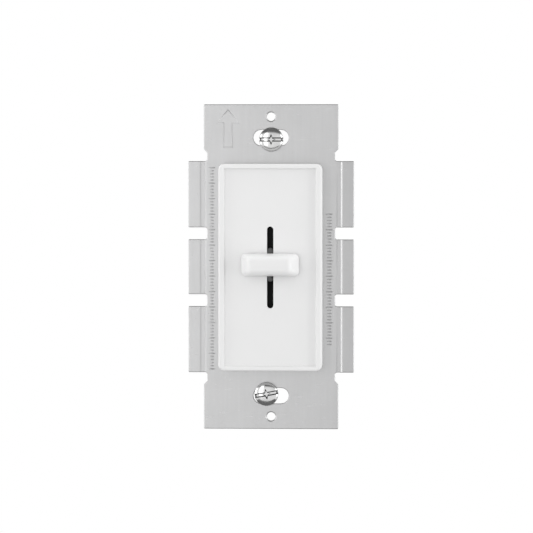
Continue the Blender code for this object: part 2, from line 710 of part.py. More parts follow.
def make_face_cover(device):
    """The cover with its sunk panel, slot, shutter rails and the four hooks that snap behind the strap."""
    half, half_up = FACE_WIDTH / 2, FACE_HEIGHT / 2
    cover = prism("face_cover", [rectangle(half, half_up, FACE_CORNER)], FACE_FRONT, FACE_BACK, "Y")
    soften(cover, FACE_EDGE, lambda first, second: max(first.y, second.y) < FACE_FRONT + NEAR)
    recess = rectangle(half - RIM_SIDE, half_up - RIM_END)
    hollow = rectangle(FACE_HALF_INSIDE, FACE_HALF_INSIDE_UP)
    slot = oblong(SLOT_LENGTH, SLOT_WIDTH, upright=True)
    cut(
        cover,
        prism("face_recess", [recess], FACE_FRONT - CUT_MARGIN, PANEL_FRONT, "Y"),
        prism("face_hollow", [hollow], PANEL_BACK, FACE_BACK + CUT_MARGIN, "Y"),
        prism("face_slot", [slot], FACE_FRONT - CUT_MARGIN, PANEL_BACK + CUT_MARGIN, "Y"),
    )
    rail_inside = SHUTTER_WIDTH / 2 + SLIDE_GAP
    for side in SIDES:
        low, high = sorted((side * rail_inside, side * (rail_inside + RAIL_WIDTH)))
        join(
            cover,
            block(
                f"shutter_rail_{side}",
                (low, PANEL_BACK - SINK, ROOM - FACE_HALF_INSIDE_UP),
                (high, PANEL_BACK + RAIL_HEIGHT, FACE_HALF_INSIDE_UP - ROOM),
            ),
        )
    inner, outer = HOOK_ASIDE - HOOK_THICKNESS / 2, HOOK_ASIDE + HOOK_THICKNESS / 2
    hook = [
        (inner, PANEL_BACK - SINK),
        (outer, PANEL_BACK - SINK),
        (outer, REAR_SEAT),
        (outer + HOOK_BARB, REAR_SEAT),
        (outer, REAR_SEAT + HOOK_TIP),
        (inner, REAR_SEAT + HOOK_TIP),
    ]
    for across, up in CORNERS:
        outline = [(across * aside, depth) for aside, depth in hook]
        middle = up * HOOK_HEIGHT / 2
        tool = prism(f"hook_{across}_{up}", [outline], middle - HOOK_WIDTH / 2, middle + HOOK_WIDTH / 2, "Z")
        join(cover, tool)
    finish(cover, "white_plastic", device)


def make_knob(slider):
    """A cross bar that narrows towards the finger, with a socket for the lever's stem."""
    half, half_up = KNOB_WIDTH / 2, KNOB_HEIGHT / 2
    knob = block("slider_knob", (-half, KNOB_FRONT, -half_up), (half, KNOB_BACK, half_up))
    for corner in knob.data.vertices:
        if corner.co.y < KNOB_FRONT + NEAR:
            corner.co.x -= math.copysign(KNOB_END_SLOPE, corner.co.x)
            corner.co.z -= math.copysign(KNOB_SIDE_SLOPE, corner.co.z)
    soften(knob, KNOB_EDGE, lambda first, second: min(first.y, second.y) < KNOB_BACK - NEAR, KNOB_STEPS)
    side, up = STEM_THICKNESS / 2 + SEAT_GAP, STEM_HEIGHT / 2 + SEAT_GAP
    depth = KNOB_BACK - STEM_REACH - SEAT_GAP
    cut(knob, block("knob_socket", (-side, depth, -up), (side, KNOB_BACK + CUT_MARGIN, up)))
    finish(knob, "white_plastic", slider)


def make_lever(slider):
    """The blade in the slot, with a stem into the knob and a neck that reaches the carriage."""
    outline = oblong(BLADE_HEIGHT, BLADE_THICKNESS, upright=True)
    lever = prism("slider_lever", [outline], BLADE_FRONT, FLANGE_FRONT + SINK, "Y")
    flange = SHUTTER_WIDTH / 2 - ROOM
    shoulder = CARRIAGE_FRONT - SEAT_GAP
    lengths = (
        ("lever_stem", STEM_THICKNESS / 2, STEM_HEIGHT / 2, KNOB_BACK - STEM_REACH, BLADE_FRONT + SINK),
        ("lever_flange", flange, FLANGE_HEIGHT / 2, FLANGE_FRONT, FLANGE_BACK),
        ("lever_neck", NECK_WIDTH / 2, NECK_HEIGHT / 2, FLANGE_BACK - SINK, shoulder),
        ("lever_tang", TANG_WIDTH / 2, TANG_HEIGHT / 2, shoulder - SINK, CARRIAGE_FRONT + TANG_REACH),
    )
    for name, half, half_up, front, back in lengths:
        join(lever, block(name, (-half, front, -half_up), (half, back, half_up)))
    finish(lever, "grey_plastic", slider)


def make_shutter(slider):
    """A thin strip that rides behind the panel and keeps the slot dark at every setting."""
    loops = [
        rectangle(SHUTTER_WIDTH / 2, SHUTTER_LENGTH / 2),
        oblong(BLADE_HEIGHT + 2 * SEAT_GAP, BLADE_THICKNESS + 2 * SEAT_GAP, upright=True),
    ]
    finish(prism("dust_shutter", loops, SHUTTER_FRONT, SHUTTER_BACK, "Y"), "black_plastic", slider)


def make_carriage(slider):
    """The potentiometer's carriage, with the wiper and the switch bridge under it."""
    half = POT_HALF_INSIDE - SLIDE_GAP
    half_up = CARRIAGE_HEIGHT / 2
    carriage = block("pot_carriage", (-half, CARRIAGE_FRONT, -half_up), (half, CARRIAGE_BACK, half_up))
    side, up = TANG_WIDTH / 2 + SEAT_GAP, TANG_HEIGHT / 2 + SEAT_GAP
    socket_end = CARRIAGE_FRONT + TANG_REACH + SEAT_GAP
    cut(carriage, block("carriage_socket", (-side, CARRIAGE_FRONT - CUT_MARGIN, -up), (side, socket_end, up)))
    finish(carriage, "black_plastic", slider)
    foot = SPRING_FRONT + SPRING_SHEET / 2
    contact = SPRING_FRONT + SPRING_REACH - SPRING_SHEET / 2
    path = [
        (foot, -SPRING_FOOT),
        (foot, CONTACT_UP - CONTACT_RUN),
        (contact, CONTACT_UP),
        (contact - SPRING_TIP_LIFT, CONTACT_UP + SPRING_TIP_LIFT),
    ]
    strip = bent_sheet(path, SPRING_SHEET, SPRING_BEND)
    for name, side in (("wiper_spring", -1), ("switch_bridge", 1)):
        middle = side * TRACK_PITCH
        spring = prism(name, [strip], middle - SPRING_WIDTH / 2, middle + SPRING_WIDTH / 2, "X")
        finish(spring, "bronze", slider)


def track_places():
    """Each track's name, finish, middle and lower end."""
    low = CONTACT_UP - TRAVEL / 2 - TRACK_LAP
    off = CONTACT_UP - TRAVEL / 2 + OFF_TRAVEL
    return (
        ("resistance_track", "carbon_film", -1.5 * TRACK_PITCH, low),
        ("collector_track", "tinned_steel", -0.5 * TRACK_PITCH, low),
        ("switch_rail_line", "brass", 0.5 * TRACK_PITCH, off),
        ("switch_rail_load", "brass", 1.5 * TRACK_PITCH, off),
    )


def make_potentiometer(device):
    """The fixed parts: a bent cover, a base and four tracks with a pin each."""
    side, front = (POT_WIDTH - POT_SHEET) / 2, POT_FRONT + POT_SHEET / 2
    path = [(-side, BASE_BACK), (-side, front), (side, front), (side, BASE_BACK)]
    channel = bent_sheet(path, POT_SHEET, POT_SHEET)
    cover = prism("pot_cover", [channel], -POT_LENGTH / 2, POT_LENGTH / 2, "Z")
    gap, gap_up = NECK_WIDTH / 2 + ROOM, WINDOW_LENGTH / 2
    cut(
        cover,
        block(
            "pot_cover_slot",
            (-gap, POT_FRONT - CUT_MARGIN, -gap_up),
            (gap, POT_FRONT + POT_SHEET + CUT_MARGIN, gap_up),
        ),
    )
    for number, (across, up) in enumerate(lug_places()):
        low = (across - POT_LUG_SHEET / 2, BASE_BACK - SINK, up - POT_LUG_WIDTH / 2)
        high = (across + POT_LUG_SHEET / 2, LEG_END, up + POT_LUG_WIDTH / 2)
        join(cover, block(f"pot_lug_{number}", low, high))
    finish(cover, "tinned_steel", device)
    hole = (PIN_SIZE + HOLE_GAP) / 2
    loops = [rectangle(POT_HALF_INSIDE - SEAT_GAP, POT_LENGTH / 2 - SEAT_GAP)]
    for name, track_finish, middle, low in track_places():
        loops.append(rectangle(hole, hole, at=(middle, PIN_UP)))
        strip = [rectangle(TRACK_WIDTH / 2, (TRACK_TOP - low) / 2, at=(middle, (TRACK_TOP + low) / 2))]
        track = prism(name, strip, TRACK_FRONT, TRACK_FRONT + TRACK_THICKNESS, "Y")
        pin_low = (middle - PIN_SIZE / 2, TRACK_FRONT + TRACK_THICKNESS / 2, PIN_UP - PIN_SIZE / 2)
        pin_high = (middle + PIN_SIZE / 2, LEG_END, PIN_UP + PIN_SIZE / 2)
        join(track, block(f"{name}_pin", pin_low, pin_high))
        finish(track, track_finish, device)
    finish(prism("pot_base", loops, BASE_FRONT, BASE_BACK, "Y"), "board_laminate", device)


def lug_places():
    """Where the four lugs of the potentiometer's cover pass through the board."""
    side, up = (POT_WIDTH - POT_SHEET) / 2, POT_LENGTH / 2 - POT_LUG_INSET
    return [(across * side, height * up) for across, height in CORNERS]


def leg_places():
    """Where the triac's legs pass through the board."""
    return [(TRIAC_ASIDE + step * TRIAC_LEG_PITCH, TRIAC_BOTTOM - TRIAC_LEG_REACH) for step in (-1, 0, 1)]


def choke_leads():
    """Where the two ends of the winding pass through the board."""
    radius = (CORE_OUTER + WINDING_WIRE) / 2 + SEAT_GAP
    return arc(radius, (-CHOKE_ASIDE, -CHOKE_DOWN), -WINDING_ARC / 2, WINDING_ARC, 1)


def lead_pair(middle, up, pitch):
    return [(middle - pitch / 2, up), (middle + pitch / 2, up)]


def board_leads():
    """Every round lead hole in the board, by the piece that it serves."""
    places = {
        "choke_winding": choke_leads(),
        "filter_capacitor": lead_pair(-CAPACITOR_ASIDE, CAPACITOR_UP, CAPACITOR_PITCH),
        "timing_capacitor": lead_pair(TIMING_ASIDE, 0.0, TIMING_PITCH),
        "diac": lead_pair(-SMALL_PARTS_ASIDE, DIAC_UP, DIAC_PITCH),
    }
    for name, up in zip(("timing_resistor", "snubber_resistor"), RESISTOR_ROWS):
        places[name] = lead_pair(-SMALL_PARTS_ASIDE, up, RESISTOR_PITCH)
    return places


def make_board(device):
    loops = [cross_shape(*BOARD_OUTLINE)]
    pin = (PIN_SIZE + HOLE_GAP) / 2
    for _, _, middle, _ in track_places():
        loops.append(rectangle(pin, pin, at=(middle, PIN_UP)))
    for place in lug_places():
        loops.append(rectangle((POT_LUG_SHEET + HOLE_GAP) / 2, (POT_LUG_WIDTH + HOLE_GAP) / 2, at=place))
    for place in leg_places():
        loops.append(rectangle((TRIAC_LEG_WIDTH + HOLE_GAP) / 2, (TRIAC_LEG_SHEET + HOLE_GAP) / 2, at=place))
    for places in board_leads().values():
        loops += [circle(max(LEAD, WINDING_WIRE) + HOLE_GAP, place, LEAD_HOLE_SIDES) for place in places]
    tail = ((TERMINAL_SHEET + HOLE_GAP) / 2, (TERMINAL_TAIL + HOLE_GAP) / 2)
    for side in SIDES:
        loops.append(rectangle(*tail, at=(TERMINAL_BACK + TERMINAL_SHEET / 2, side * TERMINAL_SPACING / 2)))
    finish(prism("circuit_board", loops, BOARD_FRONT, BOARD_BACK, "Y"), "board_laminate", device)


def make_insulating_sheet(device):
    """Keeps the strap apart from the live parts, and is cut away for the triac, the hooks and the lever."""
    loops = [cross_shape(*BOARD_OUTLINE), rectangle(WINDOW_WIDTH / 2, WINDOW_LENGTH / 2)]
    pad_half, pad_half_up, pad_up = pad_size()
    loops.append(rectangle(pad_half + ROOM, pad_half_up + ROOM, at=(TRIAC_ASIDE, pad_up)))
    hook = HOOK_THICKNESS / 2 + HOOK_BARB + ROOM
    for across, up in CORNERS:
        place = (across * HOOK_ASIDE, up * HOOK_HEIGHT / 2)
        loops.append(rectangle(hook, HOOK_WIDTH / 2 + ROOM, at=place))
    finish(prism("insulating_sheet", loops, REAR_SEAT, SHEET_BACK, "Y"), "grey_fibre", device)


def pad_size():
    """Half width, half height and middle of the pad under the triac."""
    half_up = (TRIAC_TOP - TRIAC_BOTTOM) / 2 + PAD_BORDER
    return TRIAC_WIDTH / 2 + PAD_BORDER, half_up, (TRIAC_TOP + TRIAC_BOTTOM) / 2


def make_triac(device):
    """The triac, its insulating pad and the rivet that clamps both to the strap."""
    pad_half, pad_half_up, pad_up = pad_size()
    hole = circle(RIVET + HOLE_GAP, (TRIAC_ASIDE, RIVET_UP))
    pad = [rectangle(pad_half, pad_half_up, at=(TRIAC_ASIDE, pad_up)), hole]
    finish(prism("triac_pad", pad, REAR_SEAT, REAR_SEAT + PAD_THICKNESS, "Y"), "grey_fibre", device)
    tab_half_up = (TRIAC_TOP - TRIAC_BOTTOM) / 2
    tab = [rectangle(TRIAC_WIDTH / 2, tab_half_up, at=(TRIAC_ASIDE, pad_up)), hole]
    triac = prism("triac", tab, TAB_FRONT, TAB_BACK, "Y")
    half = TRIAC_WIDTH / 2 - NEAR
    case_low = (TRIAC_ASIDE - half, TAB_FRONT + SINK, TRIAC_BOTTOM - SINK)
    case_high = (TRIAC_ASIDE + half, TAB_FRONT + TRIAC_DEPTH, TRIAC_TOP - TAB_LENGTH)
    case = block("triac_case", case_low, case_high)
    soften(case, MOULDED_EDGE, lambda first, second: min(first.y, second.y) > TAB_BACK)
    join(triac, case)
    level = (TAB_BACK + TAB_FRONT + TRIAC_DEPTH) / 2
    for number, (middle, down) in enumerate(leg_places()):
        path = [(level, TRIAC_BOTTOM + SINK), (level, down), (LEG_END, down)]
        leg = [bent_sheet(path, TRIAC_LEG_SHEET, TRIAC_LEG_BEND)]
        start, end = middle - TRIAC_LEG_WIDTH / 2, middle + TRIAC_LEG_WIDTH / 2
        join(triac, prism(f"triac_leg_{number}", leg, start, end, "X"))
    finish(triac, "black_plastic", device)
    top = STRAP_FRONT - SEAT_GAP
    length = TAB_BACK + SEAT_GAP - top
    head = [(0.0, RIVET_HEAD_HEIGHT), (RIVET_CROWN / 2, RIVET_HEAD_HEIGHT), (RIVET_HEAD / 2, 0.0)]
    tail = [(radius, -length - height) for radius, height in reversed(head)]
    rivet = head + [(RIVET / 2, 0.0), (RIVET / 2, -length)] + tail
    finish(turned("triac_rivet", rivet, (TRIAC_ASIDE, top, RIVET_UP), FORWARD), "tinned_steel", device)


def make_choke(device):
    """A ring core with its winding, whose two ends drop into the board."""
    outer, inner, half_up = CORE_OUTER / 2, CORE_INNER / 2, CORE_HEIGHT / 2
    ring = [
        (outer - CORE_EDGE, half_up),
        (outer, half_up - CORE_EDGE),
        (outer, CORE_EDGE - half_up),
        (outer - CORE_EDGE, -half_up),
        (inner + CORE_EDGE, -half_up),
        (inner, CORE_EDGE - half_up),
        (inner, half_up - CORE_EDGE),
        (inner + CORE_EDGE, half_up),
    ]
    place = (-CHOKE_ASIDE, CHOKE_MIDDLE, -CHOKE_DOWN)
    finish(turned("choke_core", ring, place, FORWARD, closed=True), "ferrite", device)
    off = SEAT_GAP + WINDING_WIRE / 2
    out, up = (outer - inner) / 2 + off, half_up + off
    section = [(out, up - CORE_EDGE), (out, CORE_EDGE - up), (out - CORE_EDGE, -up), (CORE_EDGE - out, -up)]
    section += [(-aside, -height) for aside, height in section]
    steps = WINDING_TURNS * len(section)
    points = []
    for step in range(steps + 1):
        angle = math.radians(WINDING_ARC * (step / steps - 0.5))
        aside, height = section[step % len(section)]
        radius = (outer + inner) / 2 + aside
        across, along = place[0] + radius * math.cos(angle), place[2] + radius * math.sin(angle)
        points.append((across, CHOKE_MIDDLE - height, along))
    (first, first_up), (last, last_up) = choke_leads()
    points = [(first, LEAD_END, first_up)] + points + [(last, LEAD_END, last_up)]
    finish(wire("choke_winding", points, WINDING_WIRE), "copper", device)


def make_boxed_capacitor(name, size, middle, up, device):
    """A moulded box that stands on the board on two leads."""
    half, half_up = size[0] / 2, size[2] / 2
    low = (middle - half, PART_SEAT, up - half_up)
    case = block(name, low, (middle + half, PART_SEAT + size[1], up + half_up))
    soften(case, MOULDED_EDGE, lambda first, second: True)
    for number, (across, height) in enumerate(board_leads()[name]):
        lead = [(across, LEAD_END, height), (across, PART_SEAT + size[1] / 2, height)]
        join(case, wire(f"{name}_lead_{number}", lead, LEAD))
    finish(case, "capacitor_case", device)


def make_axial_part(name, profile, finish_name, device):
    """A part that lies on the board, with a lead bent down at each end."""
    (first, up), (last, _) = board_leads()[name]
    level = PART_SEAT + max(radius for radius, _ in profile)
    lead = [(first, LEAD_END, up), (first, level, up), (last, level, up), (last, LEAD_END, up)]
    part = wire(name, lead, LEAD)
    join(part, turned(f"{name}_body", profile, ((first + last) / 2, level, up), RIGHT))
    finish(part, finish_name, device)


def make_small_parts(device):
    make_boxed_capacitor("filter_capacitor", CAPACITOR, -CAPACITOR_ASIDE, CAPACITOR_UP, device)
    make_boxed_capacitor("timing_capacitor", TIMING_CAPACITOR, TIMING_ASIDE, 0.0, device)
    end, cap, waist = RESISTOR_LENGTH / 2, RESISTOR_CAP / 2, RESISTOR_WAIST / 2
    upper = [
        (0.0, end),
        (waist, end),
        (cap, end - RESISTOR_CAP_SLOPE),
        (cap, end - RESISTOR_CAP_LENGTH),
        (waist, end - RESISTOR_CAP_LENGTH - RESISTOR_CAP_SLOPE),
    ]
    bone = upper + [(radius, -height) for radius, height in reversed(upper)]
    for name in ("timing_resistor", "snubber_resistor"):
        make_axial_part(name, bone, "resistor_lacquer", device)
    end, radius = DIAC_LENGTH / 2, DIAC_DIAMETER / 2
    bead = [(0.0, end), (radius - DIAC_EDGE, end), (radius, end - DIAC_EDGE)]
    bead += [(width, -height) for width, height in reversed(bead)]
    make_axial_part("diac", bead, "diac_glass", device)


def make_housing(device):
    """The black tub behind the strap, with screw bosses, board ledges and two terminal pockets."""
    outline = rectangle(HOUSING_HALF, HOUSING_HALF_UP, HOUSING_CORNER)
    housing = prism("rear_housing", [outline], REAR_SEAT, HOUSING_BACK, "Y")
    soften(housing, HOUSING_EDGE, lambda first, second: min(first.y, second.y) > HOUSING_BACK - NEAR)
    inside = rectangle(INSIDE_HALF, INSIDE_HALF_UP, max(HOUSING_CORNER - HOUSING_WALL, SINK))
    cut(housing, prism("housing_hollow", [inside], REAR_SEAT - CUT_MARGIN, HOUSING_INSIDE, "Y"))
    for number, (across, up) in enumerate(CORNERS):
        post = circle(BOSS, (across * BOSS_ASIDE, up * BOSS_UP))
        join(housing, prism(f"boss_{number}", [post], REAR_SEAT + SEAT_GAP, HOUSING_INSIDE + SINK, "Y"))
        pilot = circle(CASE_SCREW_SHANK + HOLE_GAP, (across * BOSS_ASIDE, up * BOSS_UP))
        depth = CASE_SCREW_LENGTH + ROOM + FACE_BACK
        cut(housing, prism(f"pilot_{number}", [pilot], REAR_SEAT - CUT_MARGIN, depth, "Y"))
    for side in SIDES:
        low, high = sorted((side * (INSIDE_HALF - LEDGE_WIDTH), side * (INSIDE_HALF + SINK)))
        ledge_low = (low, PART_SEAT, -LEDGE_HEIGHT / 2)
        join(housing, block(f"ledge_{side}", ledge_low, (high, HOUSING_INSIDE + SINK, LEDGE_HEIGHT / 2)))
    for side in SIDES:
        add_terminal_pocket(housing, side)
    finish(housing, "black_plastic", device)


def add_terminal_pocket(housing, side):
    """A pocket in the housing's right side for one terminal plate and its screw."""
    middle = side * TERMINAL_SPACING / 2
    wall = POCKET_HALF + BLOCK_WALL
    block_low = (BLOCK_INSIDE, POCKET_FRONT - BLOCK_WALL, middle - wall)
    block_high = (HOUSING_HALF - SINK, POCKET_BACK + BLOCK_WALL, middle + wall)
    join(housing, block(f"terminal_block_{side}", block_low, block_high))
    pocket_low = (POCKET_FLOOR, POCKET_FRONT, middle - POCKET_HALF)
    pocket_high = (HOUSING_HALF + CUT_MARGIN, POCKET_BACK, middle + POCKET_HALF)
    bore = circle(TERMINAL_SHANK + HOLE_GAP, (TERMINAL_FRONT + TERMINAL_LENGTH / 2, middle))
    slit, slit_up = HOLE_GAP / 2, (TERMINAL_TAIL + HOLE_GAP) / 2
    slit_low = (TERMINAL_BACK - slit, POCKET_FRONT - BLOCK_WALL - CUT_MARGIN, middle - slit_up)
    slit_high = (TERMINAL_BACK + TERMINAL_SHEET + slit, POCKET_FRONT + CUT_MARGIN, middle + slit_up)
    cut(
        housing,
        block(f"terminal_pocket_{side}", pocket_low, pocket_high),
        prism(f"terminal_bore_{side}", [bore], BLOCK_INSIDE + BLOCK_WALL, POCKET_FLOOR + CUT_MARGIN, "X"),
        block(f"terminal_slit_{side}", slit_low, slit_high),
    )


def make_terminals(device):
    """The two side terminals: a brass plate with a tail to the board, and its binding screw."""
    back = TERMINAL_FRONT + TERMINAL_LENGTH
    wide, tail = TERMINAL_WIDTH / 2, TERMINAL_TAIL / 2
    half = [(LEAD_END, tail), (TERMINAL_FRONT, tail), (TERMINAL_FRONT, wide), (back, wide)]
    screw_depth = TERMINAL_FRONT + TERMINAL_LENGTH / 2
    for name, side in (("line", 1), ("load", -1)):
        middle = side * TERMINAL_SPACING / 2
        outline = [(depth, middle + up) for depth, up in half]
        outline += [(depth, middle - up) for depth, up in reversed(half)]
        hole = circle(TERMINAL_SHANK + HOLE_GAP, (screw_depth, middle))
        plate = prism(
            f"{name}_terminal", [outline, hole], TERMINAL_BACK, TERMINAL_BACK + TERMINAL_SHEET, "X"
        )
        finish(plate, "brass", device)
        binding = screw(
            f"{name}_terminal_screw",
            (TERMINAL_HEAD, SCREW_HEAD_RIM, TERMINAL_HEAD_HEIGHT),
            (TERMINAL_SHANK, TERMINAL_SCREW_LENGTH),
            (HEAD_BACK, screw_depth, middle),
            RIGHT,
            [(TERMINAL_HEAD + CUT_MARGIN, SCREW_DRIVE, SCREW_DRIVE_DEPTH)],
        )
        finish(binding, "brass", device)


def make_earth_lug(device):
    """A bent lug staked into the strap under the face cover, with its green screw."""
    foot, level = REAR_SEAT + LUG_SHEET / 2, LUG_BOTTOM + LUG_SHEET / 2
    path = [(foot, LUG_TOP), (foot, level), (REAR_SEAT + LUG_REACH, level)]
    strip = bent_sheet(path, LUG_SHEET, LUG_BEND)
    lug = prism("earth_lug", [strip], -LUG_ASIDE - LUG_WIDTH / 2, LUG_WIDTH / 2 - LUG_ASIDE, "X")
    stake = circle(LUG_STAKE, (-LUG_ASIDE, STAKE_UP))
    join(lug, prism("lug_stake", [stake], STRAP_FRONT + SEAT_GAP, foot, "Y"))
    hole = circle(EARTH_SHANK + HOLE_GAP, (-LUG_ASIDE, EARTH_SCREW_BACK))
    cut(lug, prism("lug_hole", [hole], LUG_BOTTOM - CUT_MARGIN, LUG_BOTTOM + LUG_SHEET + CUT_MARGIN, "Z"))
    finish(lug, "tinned_steel", device)
    earth = screw(
        "earth_screw",
        (EARTH_HEAD, SCREW_HEAD_RIM, EARTH_HEAD_HEIGHT),
        (EARTH_SHANK, EARTH_SCREW_LENGTH),
        (-LUG_ASIDE, EARTH_SCREW_BACK, LUG_BOTTOM - SEAT_GAP),
        DOWN,
        [(EARTH_HEAD + CUT_MARGIN, SCREW_DRIVE, SCREW_DRIVE_DEPTH)],
    )
    finish(earth, "green_steel", device)


def make_case_screws(device):
    """The four screws that hold the housing to the strap, with their heads under the face cover."""
    names = ("upper_right", "upper_left", "lower_left", "lower_right")
    for name, (across, up) in zip(names, CORNERS):
        piece = screw(
            f"case_screw_{name}",
            (CASE_SCREW_HEAD, SCREW_HEAD_RIM, CASE_SCREW_HEAD_HEIGHT),
            (CASE_SCREW_SHANK, CASE_SCREW_LENGTH),
            (across * BOSS_ASIDE, FACE_BACK, up * BOSS_UP),
            FORWARD,
            [(CASE_SCREW_HEAD / 2, SCREW_DRIVE, SCREW_DRIVE_DEPTH)],
        )
        finish(piece, "bright_steel", device)


def make_mounting_screws():
    """The two screws that hold the dimmer in its box, each captive in its oblong by a small washer."""
    for name, side, (aside, up, turn) in (("upper", 1, UPPER_SCREW), ("lower", -1, LOWER_SCREW)):
        holder = body(f"{name}_washer", (aside, 0.0, side * MOUNTING_SPACING / 2 + up))
        piece = screw(
            f"{name}_mounting_screw",
            (SCREW_HEAD, SCREW_HEAD_RIM, SCREW_HEAD_HEIGHT),
            (SCREW_SHANK, SCREW_LENGTH),
            (0.0, FACE_BACK, 0.0),
            FORWARD @ Matrix.Rotation(math.radians(turn), 4, "Z"),
            [
                (SCREW_HEAD + CUT_MARGIN, SCREW_DRIVE, SCREW_DRIVE_DEPTH),
                (SCREW_CROSS_WIDTH, SCREW_CROSS, SCREW_CROSS_DEPTH),
                (SCREW_CROSS, SCREW_CROSS_WIDTH, SCREW_CROSS_DEPTH),
            ],
        )
        finish(piece, "bright_steel", body(f"{name}_screw", rides_on=holder))
        loops = [circle(WASHER), circle(SCREW_SHANK + HOLE_GAP)]
        washer = prism(f"{name}_retaining_washer", loops, REAR_SEAT, REAR_SEAT + WASHER_THICKNESS, "Y")
        finish(washer, "grey_fibre", holder)


def main():
    device = body("device")
    make_strap(device)
    make_face_cover(device)
    make_potentiometer(device)
    make_insulating_sheet(device)
    make_board(device)
    make_triac(device)
    make_choke(device)
    make_small_parts(device)
    make_housing(device)
    make_terminals(device)
    make_earth_lug(device)
    make_case_screws(device)
    make_mounting_screws()
    slider = body("slider", (0.0, 0.0, REST_ABOVE_MIDDLE))
    make_knob(slider)
    make_lever(slider)
    make_shutter(slider)
    make_carriage(slider)


main()
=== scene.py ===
import json
import math

import bmesh
import bpy
from mathutils import Matrix, Vector


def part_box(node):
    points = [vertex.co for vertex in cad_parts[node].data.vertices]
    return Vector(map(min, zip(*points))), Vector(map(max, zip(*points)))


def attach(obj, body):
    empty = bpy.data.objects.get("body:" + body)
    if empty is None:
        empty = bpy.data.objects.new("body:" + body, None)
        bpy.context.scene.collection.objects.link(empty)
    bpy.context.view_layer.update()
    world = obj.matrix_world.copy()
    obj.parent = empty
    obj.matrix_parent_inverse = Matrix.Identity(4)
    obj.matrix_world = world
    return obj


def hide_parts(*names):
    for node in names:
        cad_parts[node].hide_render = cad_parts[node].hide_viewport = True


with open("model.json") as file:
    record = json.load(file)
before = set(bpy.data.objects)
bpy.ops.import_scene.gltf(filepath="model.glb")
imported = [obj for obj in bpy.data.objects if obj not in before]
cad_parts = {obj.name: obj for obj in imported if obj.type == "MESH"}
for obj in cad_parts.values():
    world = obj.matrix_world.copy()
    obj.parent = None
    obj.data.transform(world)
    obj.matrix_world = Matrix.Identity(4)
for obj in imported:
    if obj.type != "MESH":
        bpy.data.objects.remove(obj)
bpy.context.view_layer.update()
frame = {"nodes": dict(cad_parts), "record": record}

MM = 0.001
NODES = frame["nodes"]
BODIES = frame["record"]["behaviour"]["bodies"]
BODY_OF = {node: body for body, members in BODIES.items() for node in members}
SCENE = bpy.context.scene

# Which way a screw looks when its own +Z is its head
FORWARD = Matrix.Rotation(math.pi / 2, 4, "X")
RIGHT = Matrix.Rotation(math.pi / 2, 4, "Y")
DOWN = Matrix.Rotation(math.pi, 4, "X")


class Wire:
    """One value in a node tree. Arithmetic on it adds Math nodes to that tree."""

    def __init__(self, graph, socket):
        self.graph = graph
        self.socket = socket

    def math(self, operation, *values, clamp=False):
        settings = {"operation": operation, "use_clamp": clamp}
        return self.graph.add("ShaderNodeMath", settings, dict(enumerate(values)))

    def __add__(self, other):
        return self.math("ADD", self, other)

    def __radd__(self, other):
        return self.math("ADD", other, self)

    def __sub__(self, other):
        return self.math("SUBTRACT", self, other)

    def __rsub__(self, other):
        return self.math("SUBTRACT", other, self)

    def __mul__(self, other):
        return self.math("MULTIPLY", self, other)

    def __rmul__(self, other):
        return self.math("MULTIPLY", other, self)

    def __truediv__(self, other):
        return self.math("DIVIDE", self, other)

    def __rtruediv__(self, other):
        return self.math("DIVIDE", other, self)

    def __neg__(self):
        return self.math("MULTIPLY", self, -1.0)

    def __abs__(self):
        return self.math("ABSOLUTE", self)

    def kept(self):
        """The value held between 0 and 1."""
        return self.math("ADD", self, 0.0, clamp=True)

    def sine(self):
        return self.math("SINE", self)

    def cosine(self):
        return self.math("COSINE", self)

    def zigzag(self, half):
        """The value folded to and fro between 0 and half."""
        return self.math("PINGPONG", self, half)

    def above(self, level):
        return self.math("GREATER_THAN", self, level)

    def other(self, output):
        """Another output of the node that this value comes from."""
        return Wire(self.graph, self.socket.node.outputs[output])


class Graph:
    """A node tree that is filled one node at a time."""

    def __init__(self, tree):
        self.tree = tree
        tree.nodes.clear()

    def add(self, kind, settings=None, sockets=None, output=0):
        """Adds a node, makes its settings, fills or links its sockets, and gives one of its outputs."""
        node = self.tree.nodes.new(kind)
        for name, value in (settings or {}).items():
            if name == "stops":
                self.set_stops(node.color_ramp.elements, value)
            else:
                setattr(node, name, value)
        for name, value in (sockets or {}).items():
            if isinstance(value, Wire):
                self.tree.links.new(value.socket, node.inputs[name])
            elif isinstance(value, list):
                for each in value:
                    self.tree.links.new(each.socket, node.inputs[name])
            else:
                node.inputs[name].default_value = value
        return Wire(self, node.outputs[output]) if len(node.outputs) else None

    @staticmethod
    def set_stops(elements, stops):
        while len(elements) < len(stops):
            elements.new(1.0)
        for element, (position, level) in zip(elements, stops):
            element.position = position
            element.color = (level, level, level, 1.0)

    def noise(self, place, scale, detail=3.0, stretch=None):
        """Noise with this many blotches to a metre, drawn out along an axis by a smaller stretch."""
        if stretch:
            place = self.add("ShaderNodeMapping", None, {"Vector": place, "Scale": stretch})
        return self.add("ShaderNodeTexNoise", None, {"Vector": place, "Scale": scale, "Detail": detail})

    def ramp(self, value, *stops):
        return self.add("ShaderNodeValToRGB", {"stops": stops}, {"Fac": value})

    def blend(self, share, first, second):
        """A colour between two others."""
        return self.add(
            "ShaderNodeMix",
            {"data_type": "RGBA"},
            {0: share, 6: opaque(first), 7: opaque(second)},
            output=2,
        )

    def bump(self, height, rise, before=None):
        """The surface's normal where height, between 0 and 1, stands this many metres proud."""
        sockets = {"Strength": 1.0, "Distance": rise, "Height": height}
        if before:
            sockets["Normal"] = before
        return self.add("ShaderNodeBump", None, sockets)


def opaque(colour):
    return colour if isinstance(colour, Wire) else (*colour, 1.0)


def grey(level):
    return (level, level, level)


# Finishes


def new_finish(name):
    """An empty material, its graph, and where each point of the piece lies."""
    finish = bpy.data.materials.new(name)
    finish.use_nodes = True
    graph = Graph(finish.node_tree)
    return finish, graph, graph.add("ShaderNodeTexCoord", output="Object")


